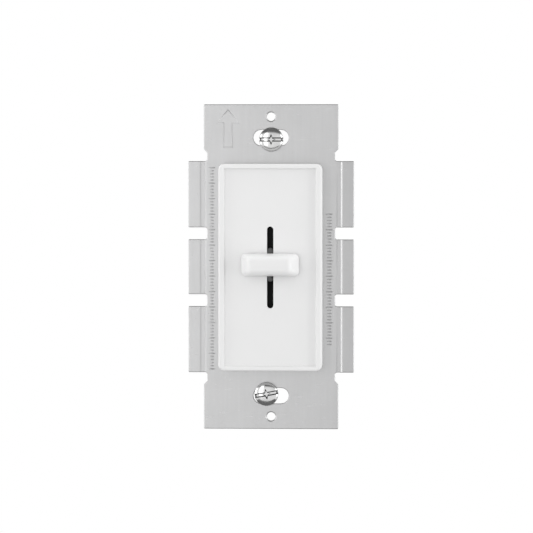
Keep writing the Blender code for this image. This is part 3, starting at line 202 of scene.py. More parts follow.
def close_finish(graph, sockets):
    shader = graph.add("ShaderNodeBsdfPrincipled", None, sockets)
    graph.add("ShaderNodeOutputMaterial", None, {"Surface": shader})


# Where the painted shade on the strap's right side begins, and over how far it deepens
PAINTED_SHADE_FROM = 20.0 * MM
PAINTED_SHADE_RUN = 4.0 * MM


def rolled_aluminium():
    """The strap's sheet: rolled lengthwise, etched to a satin, a little rubbed, with painted shade
    darkening its right side.
    """
    finish, graph, place = new_finish("rolled aluminium")
    streaks = graph.noise(place, 1.0, 4.0, stretch=(1500.0, 1500.0, 70.0))
    clouds = graph.noise(place, 130.0, 3.0)
    grain = graph.noise(place, 5200.0, 2.0)
    scuffs = graph.noise(place, 1.0, 2.0, stretch=(260.0, 260.0, 2600.0))
    rubs = graph.ramp(scuffs, (0.66, 0.0), (0.74, 1.0))
    tone = (streaks * 0.45 + clouds * 0.4 + grain * 0.15).kept()
    colour = graph.blend(tone, grey(0.49), (0.572, 0.572, 0.577))
    colour = graph.blend(rubs * 0.25, colour, grey(0.68))
    # Painted shade: the strap's right side is blended darker, standing in for the weaker reflected light
    # there
    across = graph.add("ShaderNodeSeparateXYZ", None, {"Vector": place}, "X")
    painted_shade_right = ((across - PAINTED_SHADE_FROM) / PAINTED_SHADE_RUN).kept()
    colour = graph.blend(painted_shade_right * 0.2, colour, grey(0.25))
    normal = graph.bump(grain, 0.006 * MM, graph.bump(streaks, 0.004 * MM))
    close_finish(
        graph,
        {
            "Base Color": colour,
            "Metallic": 1.0,
            "Roughness": (0.23 + clouds * 0.1 + grain * 0.08 - rubs * 0.05).kept(),
            "Normal": normal,
        },
    )
    return finish


def moulded_plastic(name, dark, light, roughness, grain_size, grain_rise, dust=0.0, gloss=0.5):
    """A moulded surface: fine spark-eroded grain, faint flow clouds and a little dust in the grain."""
    finish, graph, place = new_finish(name)
    clouds = graph.noise(place, 90.0, 3.0)
    grain = graph.noise(place, 1.0 / grain_size, 2.0)
    colour = graph.blend(clouds * 0.6 + grain * 0.4, dark, light)
    if dust:
        settled = graph.ramp(graph.noise(place, 420.0, 5.0), (0.55, 0.0), (0.8, 1.0))
        colour = graph.blend(settled * dust, colour, grey(0.35))
    close_finish(
        graph,
        {
            "Base Color": colour,
            "Roughness": (roughness + clouds * 0.06 + grain * 0.06).kept(),
            "Specular IOR Level": gloss,
            "Normal": graph.bump(grain, grain_rise),
        },
    )
    return finish


def plated_metal(name, dull, bright, roughness, grain_size, metallic=1.0):
    """A plated or drawn metal: small crystals, and duller blotches where it has been handled."""
    finish, graph, place = new_finish(name)
    blotches = graph.ramp(graph.noise(place, 300.0, 4.0), (0.4, 0.0), (0.65, 1.0))
    grain = graph.noise(place, 1.0 / grain_size, 2.0)
    close_finish(
        graph,
        {
            "Base Color": graph.blend(blotches * 0.5 + grain * 0.5, bright, dull),
            "Metallic": metallic,
            "Roughness": (roughness + blotches * 0.07 + grain * 0.07).kept(),
            "Normal": graph.bump(grain, 0.003 * MM),
        },
    )
    return finish


def pressed_fibre(name, dark, light):
    """Grey fibre sheet, with its short fibres lying every way."""
    finish, graph, place = new_finish(name)
    fibres = graph.noise(place, 1.0, 4.0, stretch=(2600.0, 900.0, 700.0))
    across = graph.noise(place, 1.0, 4.0, stretch=(700.0, 900.0, 2600.0))
    tone = (fibres * 0.5 + across * 0.5).kept()
    close_finish(
        graph,
        {
            "Base Color": graph.blend(graph.ramp(tone, (0.35, 0.0), (0.65, 1.0)), dark, light),
            "Roughness": (0.72 + tone * 0.2).kept(),
            "Normal": graph.bump(tone, 0.02 * MM),
        },
    )
    return finish


def banded_lacquer(name, middle, spacing, ground, bands):
    """A lacquered bead whose rings of colour stand at even steps along X from the middle of the piece."""
    finish, graph, place = new_finish(name)
    across = graph.add("ShaderNodeSeparateXYZ", None, {"Vector": place}, "X") - middle
    cloud = graph.noise(place, 900.0, 3.0)
    colour = graph.blend(cloud, ground, tuple(level * 0.8 for level in ground))
    first = -(len(bands) - 1) / 2
    for index, band in enumerate(bands):
        near = 0.3 * spacing - abs(across - (first + index) * spacing)
        colour = graph.blend(near.above(0.0), colour, band)
    close_finish(
        graph,
        {
            "Base Color": colour,
            "Roughness": (0.3 + cloud * 0.15).kept(),
            "Normal": graph.bump(cloud, 0.01 * MM),
            "Coat Weight": 0.3,
        },
    )
    return finish


def middle_of(node):
    low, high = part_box(node)
    return (low + high) / 2


ALUMINIUM = rolled_aluminium()
FACE_WHITE = moulded_plastic("face white", grey(0.79), grey(0.825), 0.38, 0.16 * MM, 0.003 * MM)
LEVER_GREY = moulded_plastic("lever grey", grey(0.055), grey(0.085), 0.42, 0.2 * MM, 0.005 * MM)
# Partly the shutter's own black, partly painted shade: made darker than black plastic so the slot reads as
# deep shade
SHUTTER_BLACK_AND_SHADE = moulded_plastic(
    "shutter black and painted shade", grey(0.004), grey(0.009), 0.6, 0.2 * MM, 0.005 * MM, gloss=0.08
)
HOUSING_BLACK = moulded_plastic(
    "housing black", grey(0.014), grey(0.026), 0.42, 0.35 * MM, 0.02 * MM, dust=0.03
)
EPOXY_BLACK = moulded_plastic("epoxy black", grey(0.016), grey(0.028), 0.5, 0.25 * MM, 0.01 * MM)
FERRITE = moulded_plastic("choke ferrite", grey(0.035), (0.06, 0.06, 0.066), 0.55, 0.3 * MM, 0.02 * MM)
CARBON = moulded_plastic("carbon film", grey(0.02), grey(0.035), 0.6, 0.08 * MM, 0.004 * MM)
CAPACITOR_YELLOW = moulded_plastic(
    "capacitor yellow", (0.52, 0.4, 0.07), (0.6, 0.47, 0.1), 0.4, 0.3 * MM, 0.01 * MM
)
LAMINATE = moulded_plastic(
    "board laminate", (0.36, 0.25, 0.09), (0.48, 0.36, 0.15), 0.5, 0.5 * MM, 0.01 * MM
)
ZINC = plated_metal("bright zinc", grey(0.6), (0.74, 0.74, 0.735), 0.11, 0.12 * MM)
# Painted shade: a darker copy of the zinc, for the walls of the screws' drives
ZINC_PAINTED_SHADE = plated_metal("zinc painted drive shade", grey(0.08), grey(0.16), 0.4, 0.12 * MM)
TIN = plated_metal("tinned steel", (0.5, 0.5, 0.485), (0.64, 0.64, 0.62), 0.28, 0.15 * MM)
BRASS = plated_metal("terminal brass", (0.6, 0.41, 0.14), (0.8, 0.58, 0.23), 0.2, 0.2 * MM)
# Painted shade: a darker copy of the brass, for the walls of the terminal screws' drives
BRASS_PAINTED_SHADE = plated_metal("brass painted drive shade", (0.13, 0.08, 0.02), (0.24, 0.16, 0.05), 0.4, 0.2 * MM)
BRONZE = plated_metal("spring bronze", (0.5, 0.3, 0.15), (0.7, 0.45, 0.25), 0.25, 0.15 * MM)
COPPER = plated_metal("enamelled copper", (0.5, 0.17, 0.07), (0.7, 0.29, 0.13), 0.18, 0.3 * MM)
EARTH_GREEN = plated_metal(
    "green dye", (0.03, 0.19, 0.06), (0.06, 0.33, 0.11), 0.24, 0.25 * MM, metallic=0.6
)
# Painted shade: a darker copy of the green earth screw, for the walls of its drive
GREEN_PAINTED_SHADE = plated_metal(
    "green painted drive shade", (0.008, 0.05, 0.016), (0.015, 0.09, 0.03), 0.4, 0.25 * MM, metallic=0.6
)
FIBRE = pressed_fibre("grey fibre", (0.2, 0.19, 0.175), (0.36, 0.345, 0.32))
BAND_STEP = 1.1 * MM
TIMING_LACQUER = banded_lacquer(
    "timing lacquer",
    middle_of("timing_resistor").x,
    BAND_STEP,
    (0.5, 0.36, 0.2),
    [(0.06, 0.03, 0.015), grey(0.01), (0.6, 0.2, 0.02), (0.6, 0.4, 0.1)],
)
SNUBBER_LACQUER = banded_lacquer(
    "snubber lacquer",
    middle_of("snubber_resistor").x,
    BAND_STEP,
    (0.5, 0.36, 0.2),
    [(0.6, 0.02, 0.02), (0.6, 0.02, 0.02), (0.06, 0.03, 0.015), (0.6, 0.4, 0.1)],
)
DIAC_BLUE = banded_lacquer("diac blue", middle_of("diac").x, BAND_STEP, (0.05, 0.13, 0.34), [grey(0.01)])

# Painted shade: the darker copy of each screw finish that lines the walls of its drive
PAINTED_DRIVE_SHADES = {ZINC: ZINC_PAINTED_SHADE, BRASS: BRASS_PAINTED_SHADE, EARTH_GREEN: GREEN_PAINTED_SHADE}

# Pieces that are shut away in the housing keep their CAD shape
INSIDE = {
    "pot_cover": TIN,
    "pot_base": LAMINATE,
    "resistance_track": CARBON,
    "collector_track": TIN,
    "switch_rail_line": BRASS,
    "switch_rail_load": BRASS,
    "insulating_sheet": FIBRE,
    "circuit_board": LAMINATE,
    "triac": EPOXY_BLACK,
    "triac_pad": FIBRE,
    "triac_rivet": TIN,
    "choke_core": FERRITE,
    "choke_winding": COPPER,
    "filter_capacitor": CAPACITOR_YELLOW,
    "timing_capacitor": CAPACITOR_YELLOW,
    "timing_resistor": TIMING_LACQUER,
    "snubber_resistor": SNUBBER_LACQUER,
    "diac": DIAC_BLUE,
    "pot_carriage": EPOXY_BLACK,
    "wiper_spring": BRONZE,
    "switch_bridge": BRONZE,
}

for node, finish in INSIDE.items():
    NODES[node].data.materials.clear()
    NODES[node].data.materials.append(finish)


# Making pieces

SAME_POINT = 0.001 * MM
FLAT_FOLD = 0.5
SHARP_FOLD = 35.0
SHALLOW_FOLD = 18.0
SHALLOW_SHARE = 0.3
LONG_EDGE = 5.0 * MM
EDGE_STEPS = 3


def place_piece(name, mesh, finish, body, *nodes):
    """Puts a finished mesh in the scene, on its body and in the place of the nodes it stands for."""
    piece = bpy.data.objects.new(name, mesh)
    SCENE.collection.objects.link(piece)
    if not mesh.materials:
        mesh.materials.append(finish)
    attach(piece, body)
    if nodes:
        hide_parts(*nodes)
    return piece


def plain_mesh(piece):
    """The mesh that a piece's modifiers make, after which the piece itself goes."""
    graph = bpy.context.evaluated_depsgraph_get()
    mesh = bpy.data.meshes.new_from_object(
        piece.evaluated_get(graph), preserve_all_data_layers=True, depsgraph=graph
    )
    bpy.data.objects.remove(piece)
    return mesh


def dress(node, name, finish, edge, reshape=None, cutter=None):
    """A copy of a CAD node whose sharp edges, and whose long shallow ones, have a small radius."""
    shape = bmesh.new()
    shape.from_mesh(NODES[node].data)
    bmesh.ops.remove_doubles(shape, verts=shape.verts, dist=SAME_POINT)
    flat = math.radians(FLAT_FOLD)
    bmesh.ops.dissolve_limit(shape, angle_limit=flat, verts=shape.verts, edges=shape.edges)
    for face in shape.faces:
        face.smooth = True
    if reshape:
        reshape(shape)
    weight = shape.edges.layers.float.new("bevel_weight_edge")
    for line in shape.edges:
        fold = math.degrees(line.calc_face_angle(0.0))
        if fold > SHARP_FOLD:
            line[weight] = 1.0
        elif fold > SHALLOW_FOLD and line.calc_length() > LONG_EDGE:
            line[weight] = SHALLOW_SHARE
    mesh = bpy.data.meshes.new(name)
    shape.to_mesh(mesh)
    shape.free()
    rough = bpy.data.objects.new(name + "_rough", mesh)
    SCENE.collection.objects.link(rough)
    if cutter:
        cut = rough.modifiers.new("cut", "BOOLEAN")
        cut.operation = "DIFFERENCE"
        cut.object = cutter
    broken = rough.modifiers.new("broken edges", "BEVEL")
    broken.width = edge
    broken.segments = EDGE_STEPS
    broken.limit_method = "WEIGHT"
    broken.use_clamp_overlap = False
    broken.loop_slide = False
    rough.modifiers.new("flat faces stay flat", "WEIGHTED_NORMAL")
    mesh = plain_mesh(rough)
    if cutter:
        bpy.data.objects.remove(cutter)
    return place_piece(name, mesh, finish, BODY_OF[node], node)


STRAP_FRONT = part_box("mounting_strap")[0].y
HOUSING_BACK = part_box("rear_housing")[1].y
SCORE_MIDDLE = 22.0 * MM
SCORE_REACH = 0.5 * MM
SCORE_DEPTH = 0.4 * MM
SCORE_SUNK = 0.14 * MM
SCORE_SPREAD = 2.2
NEARLY = 0.05 * MM
BACK_WIDTH = 31.0 * MM
BACK_HEIGHT = 49.0 * MM
BACK_SUNK = 0.35 * MM
BACK_CORNER = 2.0 * MM
BACK_CORNER_STEPS = 6


def ease_scores(shape):
    """Makes the grooves at the fins' roots as shallow and flat as they look."""
    for point in shape.verts:
        from_middle = abs(point.co.x) - SCORE_MIDDLE
        from_floor = point.co.y - STRAP_FRONT - SCORE_DEPTH
        if abs(from_middle) < SCORE_REACH and abs(from_floor) < NEARLY:
            point.co.x = math.copysign(SCORE_MIDDLE + from_middle * SCORE_SPREAD, point.co.x)
            point.co.y = STRAP_FRONT + SCORE_SUNK


def back_panel():
    """What is moulded out of the housing's back to leave a shallow panel."""
    shape = bmesh.new()
    bmesh.ops.create_cube(shape, size=1.0)
    bmesh.ops.scale(shape, verts=shape.verts, vec=(BACK_WIDTH, 2 * BACK_SUNK, BACK_HEIGHT))
    bmesh.ops.translate(shape, verts=shape.verts, vec=(0.0, HOUSING_BACK, 0.0))
    upright = [line for line in shape.edges if abs(line.verts[0].co.y - line.verts[1].co.y) > BACK_SUNK]
    bmesh.ops.bevel(
        shape,
        geom=upright,
        offset=BACK_CORNER,
        segments=BACK_CORNER_STEPS,
        profile=0.5,
        affect="EDGES",
    )
    mesh = bpy.data.meshes.new("back_panel")
    shape.to_mesh(mesh)
    shape.free()
    panel = bpy.data.objects.new("back_panel", mesh)
    SCENE.collection.objects.link(panel)
    return panel


dress("mounting_strap", "strap_plate", ALUMINIUM, 0.24 * MM, ease_scores)
dress("face_cover", "cover_shell", FACE_WHITE, 0.12 * MM)
dress("slider_knob", "knob_bar", FACE_WHITE, 0.15 * MM)
dress("slider_lever", "lever_blade", LEVER_GREY, 0.1 * MM)
# The shutter's near-black colour is partly its own and partly painted shade in the slot
dress("dust_shutter", "shutter_strip", SHUTTER_BLACK_AND_SHADE, 0.06 * MM)
dress("rear_housing", "housing_tub", HOUSING_BLACK, 0.25 * MM, cutter=back_panel())
dress("earth_lug", "earth_tab", TIN, 0.12 * MM)
dress("line_terminal", "line_plate", BRASS, 0.12 * MM)
dress("load_terminal", "load_plate", BRASS, 0.12 * MM)
dress("upper_retaining_washer", "upper_washer_disc", FIBRE, 0.1 * MM)
dress("lower_retaining_washer", "lower_washer_disc", FIBRE, 0.1 * MM)


# Screws


def new_tree(name, lengths, counts=(), finishes=("Finish",)):
    """A geometry tree whose inputs are these named lengths, counts and finishes."""
    tree = bpy.data.node_groups.new(name, "GeometryNodeTree")
    graph = Graph(tree)
    tree.interface.new_socket("Geometry", in_out="OUTPUT", socket_type="NodeSocketGeometry")
    for length in lengths:
        tree.interface.new_socket(length, in_out="INPUT", socket_type="NodeSocketFloat")
    for count in counts:
        tree.interface.new_socket(count, in_out="INPUT", socket_type="NodeSocketInt")
    for finish in finishes:
        tree.interface.new_socket(finish, in_out="INPUT", socket_type="NodeSocketMaterial")
    inputs = graph.add("NodeGroupInput")
    return tree, graph, {name: inputs.other(name) for name in (*lengths, *counts, *finishes)}


def close_tree(graph, shape, finish, where=True):
    shape = graph.add("GeometryNodeRealizeInstances", None, {"Geometry": shape})
    painted = {"Geometry": shape, "Selection": where, "Material": finish}
    shape = graph.add("GeometryNodeSetMaterial", None, painted)
    graph.add("NodeGroupOutput", None, {"Geometry": shape})


def grow(tree, sizes):
    """The plain mesh that a geometry tree makes with these sizes."""
    start = bpy.data.objects.new(tree.name, bpy.data.meshes.new(tree.name))
    SCENE.collection.objects.link(start)
    growth = start.modifiers.new(tree.name, "NODES")
    growth.node_group = tree
    for item in tree.interface.items_tree:
        if item.in_out == "INPUT":
            growth[item.identifier] = sizes[item.name]
    mesh = plain_mesh(start)
    if mesh.materials[0] is None:
        mesh.materials.pop(index=0)
    return mesh


DOME_ROWS = 9
SIDES_ROUND = 40
ROWS_PER_TURN = 8
RIM_BREAK = 0.12 * MM
DRIVE_PROUD = 0.3 * MM
SLOT_STEPS = 15
SLOT_MIDDLE = 0.68
SLOT_FLARE = 0.64
CROSS_SIDES = 8
CROSS_TOP = 1.15
CROSS_FOOT = 0.6
LEVEL_ENOUGH = 0.8
SCREW_TIP = 1.0 * MM
SCREW_TIP_SLOPE = 0.7
THREAD_DEPTH = 0.3 * MM
VALLEY_WIDTH = 1.3
VALLEY_SLOPE = 4.0
SCREW_SHARP = 38.0


def vector(graph, x, y, z):
    return graph.add("ShaderNodeCombineXYZ", None, {"X": x, "Y": y, "Z": z})


def each_corner(graph):
    """Where each corner of a mesh lies: X itself, with Y and Z as its other outputs."""
    place = graph.add("GeometryNodeInputPosition")
    return graph.add("ShaderNodeSeparateXYZ", None, {"Vector": place})


def slot_cutter(graph, size):
    """A bar that cuts a straight slot across the dome, as deep at its ends as in the middle."""
    tall = size["Slot Depth"] + DRIVE_PROUD
    bar = vector(graph, size["Slot Length"], size["Slot Width"], tall)
    shape = graph.add("GeometryNodeMeshCube", None, {"Size": bar, "Vertices X": SLOT_STEPS})
    corner = each_corner(graph)
    height = corner.other("Z")
    across = corner.other("Y") * (SLOT_MIDDLE + height / tall * SLOT_FLARE)
    out = corner / (size["Head"] * 0.5)
    dome = (1.0 - out * out).kept()
    drop = (size["Height"] - size["Rim"]) * (1.0 - dome.math("SQRT", dome))
    middle = size["Height"] + (DRIVE_PROUD - size["Slot Depth"]) * 0.5
    place = vector(graph, corner, across, height + middle - drop)
    return graph.add("GeometryNodeSetPosition", None, {"Geometry": shape, "Position": place})


def cross_cutter(graph, size):
    """A four-pointed plug that cuts a cross drive, narrower at its foot."""
    tall = size["Cross Depth"] + DRIVE_PROUD
    plug = {
        "Vertices": CROSS_SIDES,
        "Radius Top": size["Cross Reach"] * CROSS_TOP,
        "Radius Bottom": size["Cross Reach"] * CROSS_FOOT,
        "Depth": tall,
    }
    shape = graph.add("GeometryNodeMeshCone", {"fill_type": "NGON"}, plug)
    corner = each_corner(graph)
    along, across = corner * corner, corner.other("Y") * corner.other("Y")
    share = along / (along + across)
    pinch = 1.0 - share * (1.0 - share) * 4.0 * (1.0 - size["Cross Waist"] / size["Cross Reach"])
    height = corner.other("Z") + size["Height"] - size["Cross Depth"]
    place = vector(graph, corner * pinch, corner.other("Y") * pinch, height)
    return graph.add("GeometryNodeSetPosition", None, {"Geometry": shape, "Position": place})


def painted_shade_walls(graph, cutter, finish, recess):
    """A cutter whose sides leave painted shade, a darker copy of the metal, on a drive's walls, and whose
    foot leaves the screw's own finish.
    """
    normal = graph.add("GeometryNodeInputNormal")
    upright = graph.add("ShaderNodeSeparateXYZ", None, {"Vector": normal}, "Z")
    cutter = graph.add("GeometryNodeSetMaterial", None, {"Geometry": cutter, "Material": finish})
    walls = 1.0 - abs(upright).above(LEVEL_ENOUGH)
    painted = {"Geometry": cutter, "Selection": walls, "Material": recess}
    return graph.add("GeometryNodeSetMaterial", None, painted)


def screw_tree():
    """A domed screw with a rolled thread, seated at Z = 0, cut for a straight and a cross driver."""
    tree, graph, size = new_tree(
        "threaded_screw",
        (
            "Head",
            "Rim",
            "Height",
            "Shank",
            "Length",
            "Tip",
            "Pitch",
            "Thread Depth",
            "Slot Length",
            "Slot Width",
            "Slot Depth",
            "Cross Reach",
            "Cross Waist",
            "Cross Depth",
        ),
        ("Thread Rows",),
        ("Finish", "Drive Shade"),
    )
    rows = size["Thread Rows"] + DOME_ROWS + 5
    sheet = graph.add(
        "GeometryNodeMeshGrid",
        None,
        {"Size X": 1.0, "Size Y": 1.0, "Vertices X": SIDES_ROUND + 1, "Vertices Y": rows + 1},
    )
    flat = each_corner(graph)
    round_share = flat + 0.5
    row = (flat.other("Y") + 0.5) * rows
    head, shank = size["Head"] * 0.5, size["Shank"] * 0.5
    rise = (row / DOME_ROWS).kept() * (math.pi / 2)
    radius = rise.sine() * head
    height = size["Rim"] + (size["Height"] - size["Rim"]) * rise.cosine()
    bottom = -size["Length"]
    before = (head, size["Rim"])
    done = DOME_ROWS
    thread_start = DOME_ROWS + 3
    for after, count in (
        ((head, RIM_BREAK), 1),
        ((head - RIM_BREAK, 0.0), 1),
        ((shank, 0.0), 1),
        ((shank, bottom + size["Tip"]), size["Thread Rows"]),
        ((shank - size["Tip"] * SCREW_TIP_SLOPE, bottom), 1),
        ((0.0, bottom), 1),
    ):
        share = ((row - done) / count).kept()
        radius = radius + (after[0] - before[0]) * share
        height = height + (after[1] - before[1]) * share
        before = after
        done = count + done
    turn = height / size["Pitch"] + round_share
    valley = (VALLEY_WIDTH - turn.zigzag(0.5) * VALLEY_SLOPE).kept()
    from_start = ((row - thread_start) / ROWS_PER_TURN).kept()
    from_end = ((size["Thread Rows"] + thread_start - row) / 2).kept()
    radius = radius - valley * size["Thread Depth"] * from_start * from_end
    angle = round_share * (-2 * math.pi)
    wrapped = vector(graph, radius * angle.cosine(), radius * angle.sine(), height)
    shape = graph.add("GeometryNodeSetPosition", None, {"Geometry": sheet, "Position": wrapped})
    shape = graph.add("GeometryNodeMergeByDistance", None, {"Geometry": shape, "Distance": SAME_POINT})
    shape = graph.add("GeometryNodeSetMaterial", None, {"Geometry": shape, "Material": size["Finish"]})
    for cutter in (slot_cutter(graph, size), cross_cutter(graph, size)):
        # The drive's walls take the painted-shade copy of the finish, its floor the finish itself
        cutter = painted_shade_walls(graph, cutter, size["Finish"], size["Drive Shade"])
        how = {"operation": "DIFFERENCE", "solver": "EXACT"}
        shape = graph.add("GeometryNodeMeshBoolean", how, {"Mesh 1": shape, "Mesh 2": cutter})
    in_drive = graph.add("GeometryNodeMaterialSelection", None, {"Material": size["Drive Shade"]})
    close_tree(graph, shape, size["Drive Shade"], in_drive)
    return tree


SCREW_TREE = screw_tree()


def make_screw(node, name, finish, facing, height, rim, shank, pitch, slot, cross, turn=0.0):
    """A threaded screw in the place of a CAD screw, whose box gives its head, length and place."""
    low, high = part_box(node)
    turned_low, turned_high = facing.inverted() @ low, facing.inverted() @ high
    near = Vector(map(min, turned_low, turned_high))
    far = Vector(map(max, turned_low, turned_high))
    head = min(far.x - near.x, far.y - near.y)
    length = far.z - near.z - height
    rows = round(length / pitch * ROWS_PER_TURN)
    sizes = {
        "Head": head,
        "Rim": rim,
        "Height": height,
        "Shank": shank,
        "Length": length,
        "Tip": SCREW_TIP,
        "Pitch": pitch,
        "Thread Depth": THREAD_DEPTH,
        "Slot Length": slot[0],
        "Slot Width": slot[1],
        "Slot Depth": slot[2],
        "Cross Reach": cross[0],
        "Cross Waist": cross[1],
        "Cross Depth": cross[2],
        "Thread Rows": rows,
        "Finish": finish,
        "Drive Shade": PAINTED_DRIVE_SHADES[finish],
    }
    mesh = grow(SCREW_TREE, sizes)
    seat = facing @ Vector(((near.x + far.x) / 2, (near.y + far.y) / 2, far.z - height))
    mesh.transform(Matrix.Translation(seat) @ facing @ Matrix.Rotation(math.radians(turn), 4, "Z"))
    shape = bmesh.new()
    shape.from_mesh(mesh)
    bmesh.ops.remove_doubles(shape, verts=shape.verts, dist=SAME_POINT)
    bmesh.ops.recalc_face_normals(shape, faces=shape.faces)
    shape.to_mesh(mesh)
    shape.free()
    mesh.shade_smooth()
    mesh.set_sharp_from_angle(angle=math.radians(SCREW_SHARP))
    return place_piece(name, mesh, finish, BODY_OF[node], node)


MOUNTING = {"height": 2.1 * MM, "rim": 0.7 * MM, "shank": 3.4 * MM, "pitch": 0.794 * MM}
MOUNTING_DRIVE = {"slot": (8.8 * MM, 1.8 * MM, 0.55 * MM), "cross": (1.9 * MM, 0.75 * MM, 1.0 * MM)}
make_screw("upper_mounting_screw", "upper_box_screw", ZINC, FORWARD, **MOUNTING, **MOUNTING_DRIVE)
LOWER_TURN = 10.0
make_screw(
    "lower_mounting_screw", "lower_box_screw", ZINC, FORWARD, **MOUNTING, **MOUNTING_DRIVE, turn=LOWER_TURN
)
TERMINAL = {"height": 2.4 * MM, "rim": 0.7 * MM, "shank": 3.0 * MM, "pitch": 0.794 * MM}
TERMINAL_DRIVE = {"slot": (8.0 * MM, 1.6 * MM, 0.6 * MM), "cross": (1.8 * MM, 0.7 * MM, 1.1 * MM)}
make_screw("line_terminal_screw", "line_binding_screw", BRASS, RIGHT, **TERMINAL, **TERMINAL_DRIVE)
make_screw("load_terminal_screw", "load_binding_screw", BRASS, RIGHT, **TERMINAL, **TERMINAL_DRIVE)
EARTH = {"height": 2.4 * MM, "rim": 0.7 * MM, "shank": 3.4 * MM, "pitch": 0.794 * MM}
make_screw("earth_screw", "earth_binding_screw", EARTH_GREEN, DOWN, **EARTH, **TERMINAL_DRIVE)
CASE = {"height": 1.6 * MM, "rim": 0.7 * MM, "shank": 2.3 * MM, "pitch": 0.9 * MM}
CASE_DRIVE = {"slot": (2.6 * MM, 0.8 * MM, 0.3 * MM), "cross": (1.3 * MM, 0.5 * MM, 0.8 * MM)}
for corner in ("upper_right", "upper_left", "lower_left", "lower_right"):
    make_screw(f"case_screw_{corner}", f"housing_screw_{corner}", ZINC, FORWARD, **CASE, **CASE_DRIVE)


THREAD_STEPS = 28
THREAD_SIDES = 6


def thread_tree():
    """The ridge of a rolled thread in a hole along Y."""
    tree, graph, size = new_tree("tapped_thread", ("Up", "Bore", "Depth", "Inset", "Pitch", "Ridge"))
    path = {
        "Resolution": THREAD_STEPS,
        "Rotations": size["Depth"] / size["Pitch"],
        "Start Radius": size["Bore"] * 0.5,
        "End Radius": size["Bore"] * 0.5,
        "Height": size["Depth"],
    }
    path = graph.add("GeometryNodeCurveSpiral", None, path)
    ridge = {"Resolution": THREAD_SIDES, "Radius": size["Ridge"]}
    ridge = graph.add("GeometryNodeCurvePrimitiveCircle", None, ridge)
    shape = {"Curve": path, "Profile Curve": ridge, "Fill Caps": True}
    shape = graph.add("GeometryNodeCurveToMesh", None, shape)
    place = {
        "Geometry": shape,
        "Translation": vector(graph, 0.0, -size["Inset"], size["Up"]),
        "Rotation": (math.pi / 2, 0.0, 0.0),
    }
    close_tree(graph, graph.add("GeometryNodeTransform", None, place), size["Finish"])
    return tree


COVER_SCREW_UP = 48.42 * MM
THREAD_TREE = thread_tree()
THREAD = {
    "Bore": 3.1 * MM,
    "Depth": 1.1 * MM,
    "Inset": 0.25 * MM,
    "Pitch": 0.794 * MM,
    "Ridge": 0.19 * MM,
}
for name, up in (("upper_hole_thread", COVER_SCREW_UP), ("lower_hole_thread", -COVER_SCREW_UP)):
    thread = grow(THREAD_TREE, {"Up": up, **THREAD, "Finish": ALUMINIUM})
    thread.shade_smooth()
    place_piece(name, thread, ALUMINIUM, "device")


# Marks on the strap and the housing

TICK_WIDTH = 0.42 * MM
TICK_RISE = 0.13 * MM
SHORT_TICK = 0.62
LONG_TICK_MORE = 0.38
LONG_TICK_EVERY = 5


def tick_tree():
    """A row of stamped strokes down the strap, every few of them longer."""
    tree, graph, size = new_tree(
        "stamped_ticks",
        ("Across", "Front", "Top", "Spacing", "Stroke", "Width", "Rise"),
        ("Count", "Long Every"),
    )
    first = vector(graph, size["Across"], size["Front"], size["Top"])
    step = vector(graph, 0.0, 0.0, -size["Spacing"])
    line = {"Count": size["Count"], "Start Location": first, "Offset": step}
    line = graph.add("GeometryNodeMeshLine", {"mode": "OFFSET"}, line)
    stroke = graph.add("GeometryNodeMeshUVSphere", None, {"Segments": 8, "Rings": 5, "Radius": 0.5})
    group = graph.add("GeometryNodeInputIndex") / size["Long Every"]
    is_long = 1.0 - group.math("FRACT", group).above(0.01)
    length = size["Stroke"] * (SHORT_TICK + is_long * LONG_TICK_MORE)
    scale = vector(graph, length, size["Rise"] * 2.0, size["Width"])
    strokes = {"Points": line, "Instance": stroke, "Scale": scale}
    shape = graph.add("GeometryNodeInstanceOnPoints", None, strokes)
    close_tree(graph, shape, size["Finish"])
    return tree


TICK_TREE = tick_tree()


def stamp_ticks(name, across, top, bottom, spacing, stroke):
    sizes = {
        "Across": across,
        "Front": STRAP_FRONT,
        "Top": top,
        "Spacing": spacing,
        "Stroke": stroke,
        "Width": TICK_WIDTH,
        "Rise": TICK_RISE,
        "Count": round((top - bottom) / spacing) + 1,
        "Long Every": LONG_TICK_EVERY,
        "Finish": ALUMINIUM,
    }
    mesh = grow(TICK_TREE, sizes)
    mesh.shade_smooth()
    return place_piece(name, mesh, ALUMINIUM, "device")


stamp_ticks("left_gauge_marks", -19.1 * MM, 32.0 * MM, -33.0 * MM, 1.0 * MM, 2.2 * MM)
stamp_ticks("right_gauge_marks", 18.9 * MM, 17.0 * MM, -25.0 * MM, 1.0 * MM, 2.6 * MM)


def raised_line(name, corners, depth, width, rise, finish):
    """A closed line that stands a little proud of a face at this depth, with rounded flanks."""
    path = bpy.data.curves.new(name, "CURVE")
    path.dimensions = "3D"
    path.bevel_depth = width / 2
    path.bevel_resolution = 2
    spline = path.splines.new("POLY")
    spline.points.add(len(corners) - 1)
    spline.use_cyclic_u = True
    for point, (across, up) in zip(spline.points, corners):
        point.co = (across * MM, 0.0, up * MM, 1.0)
    drawn = bpy.data.objects.new(name + "_path", path)
    SCENE.collection.objects.link(drawn)
    mesh = plain_mesh(drawn)
    flattened = Matrix.Diagonal((1.0, 2 * rise / width, 1.0, 1.0))
    mesh.transform(Matrix.Translation((0.0, depth, 0.0)) @ flattened)
    mesh.shade_smooth()
    return place_piece(name, mesh, finish, "device")


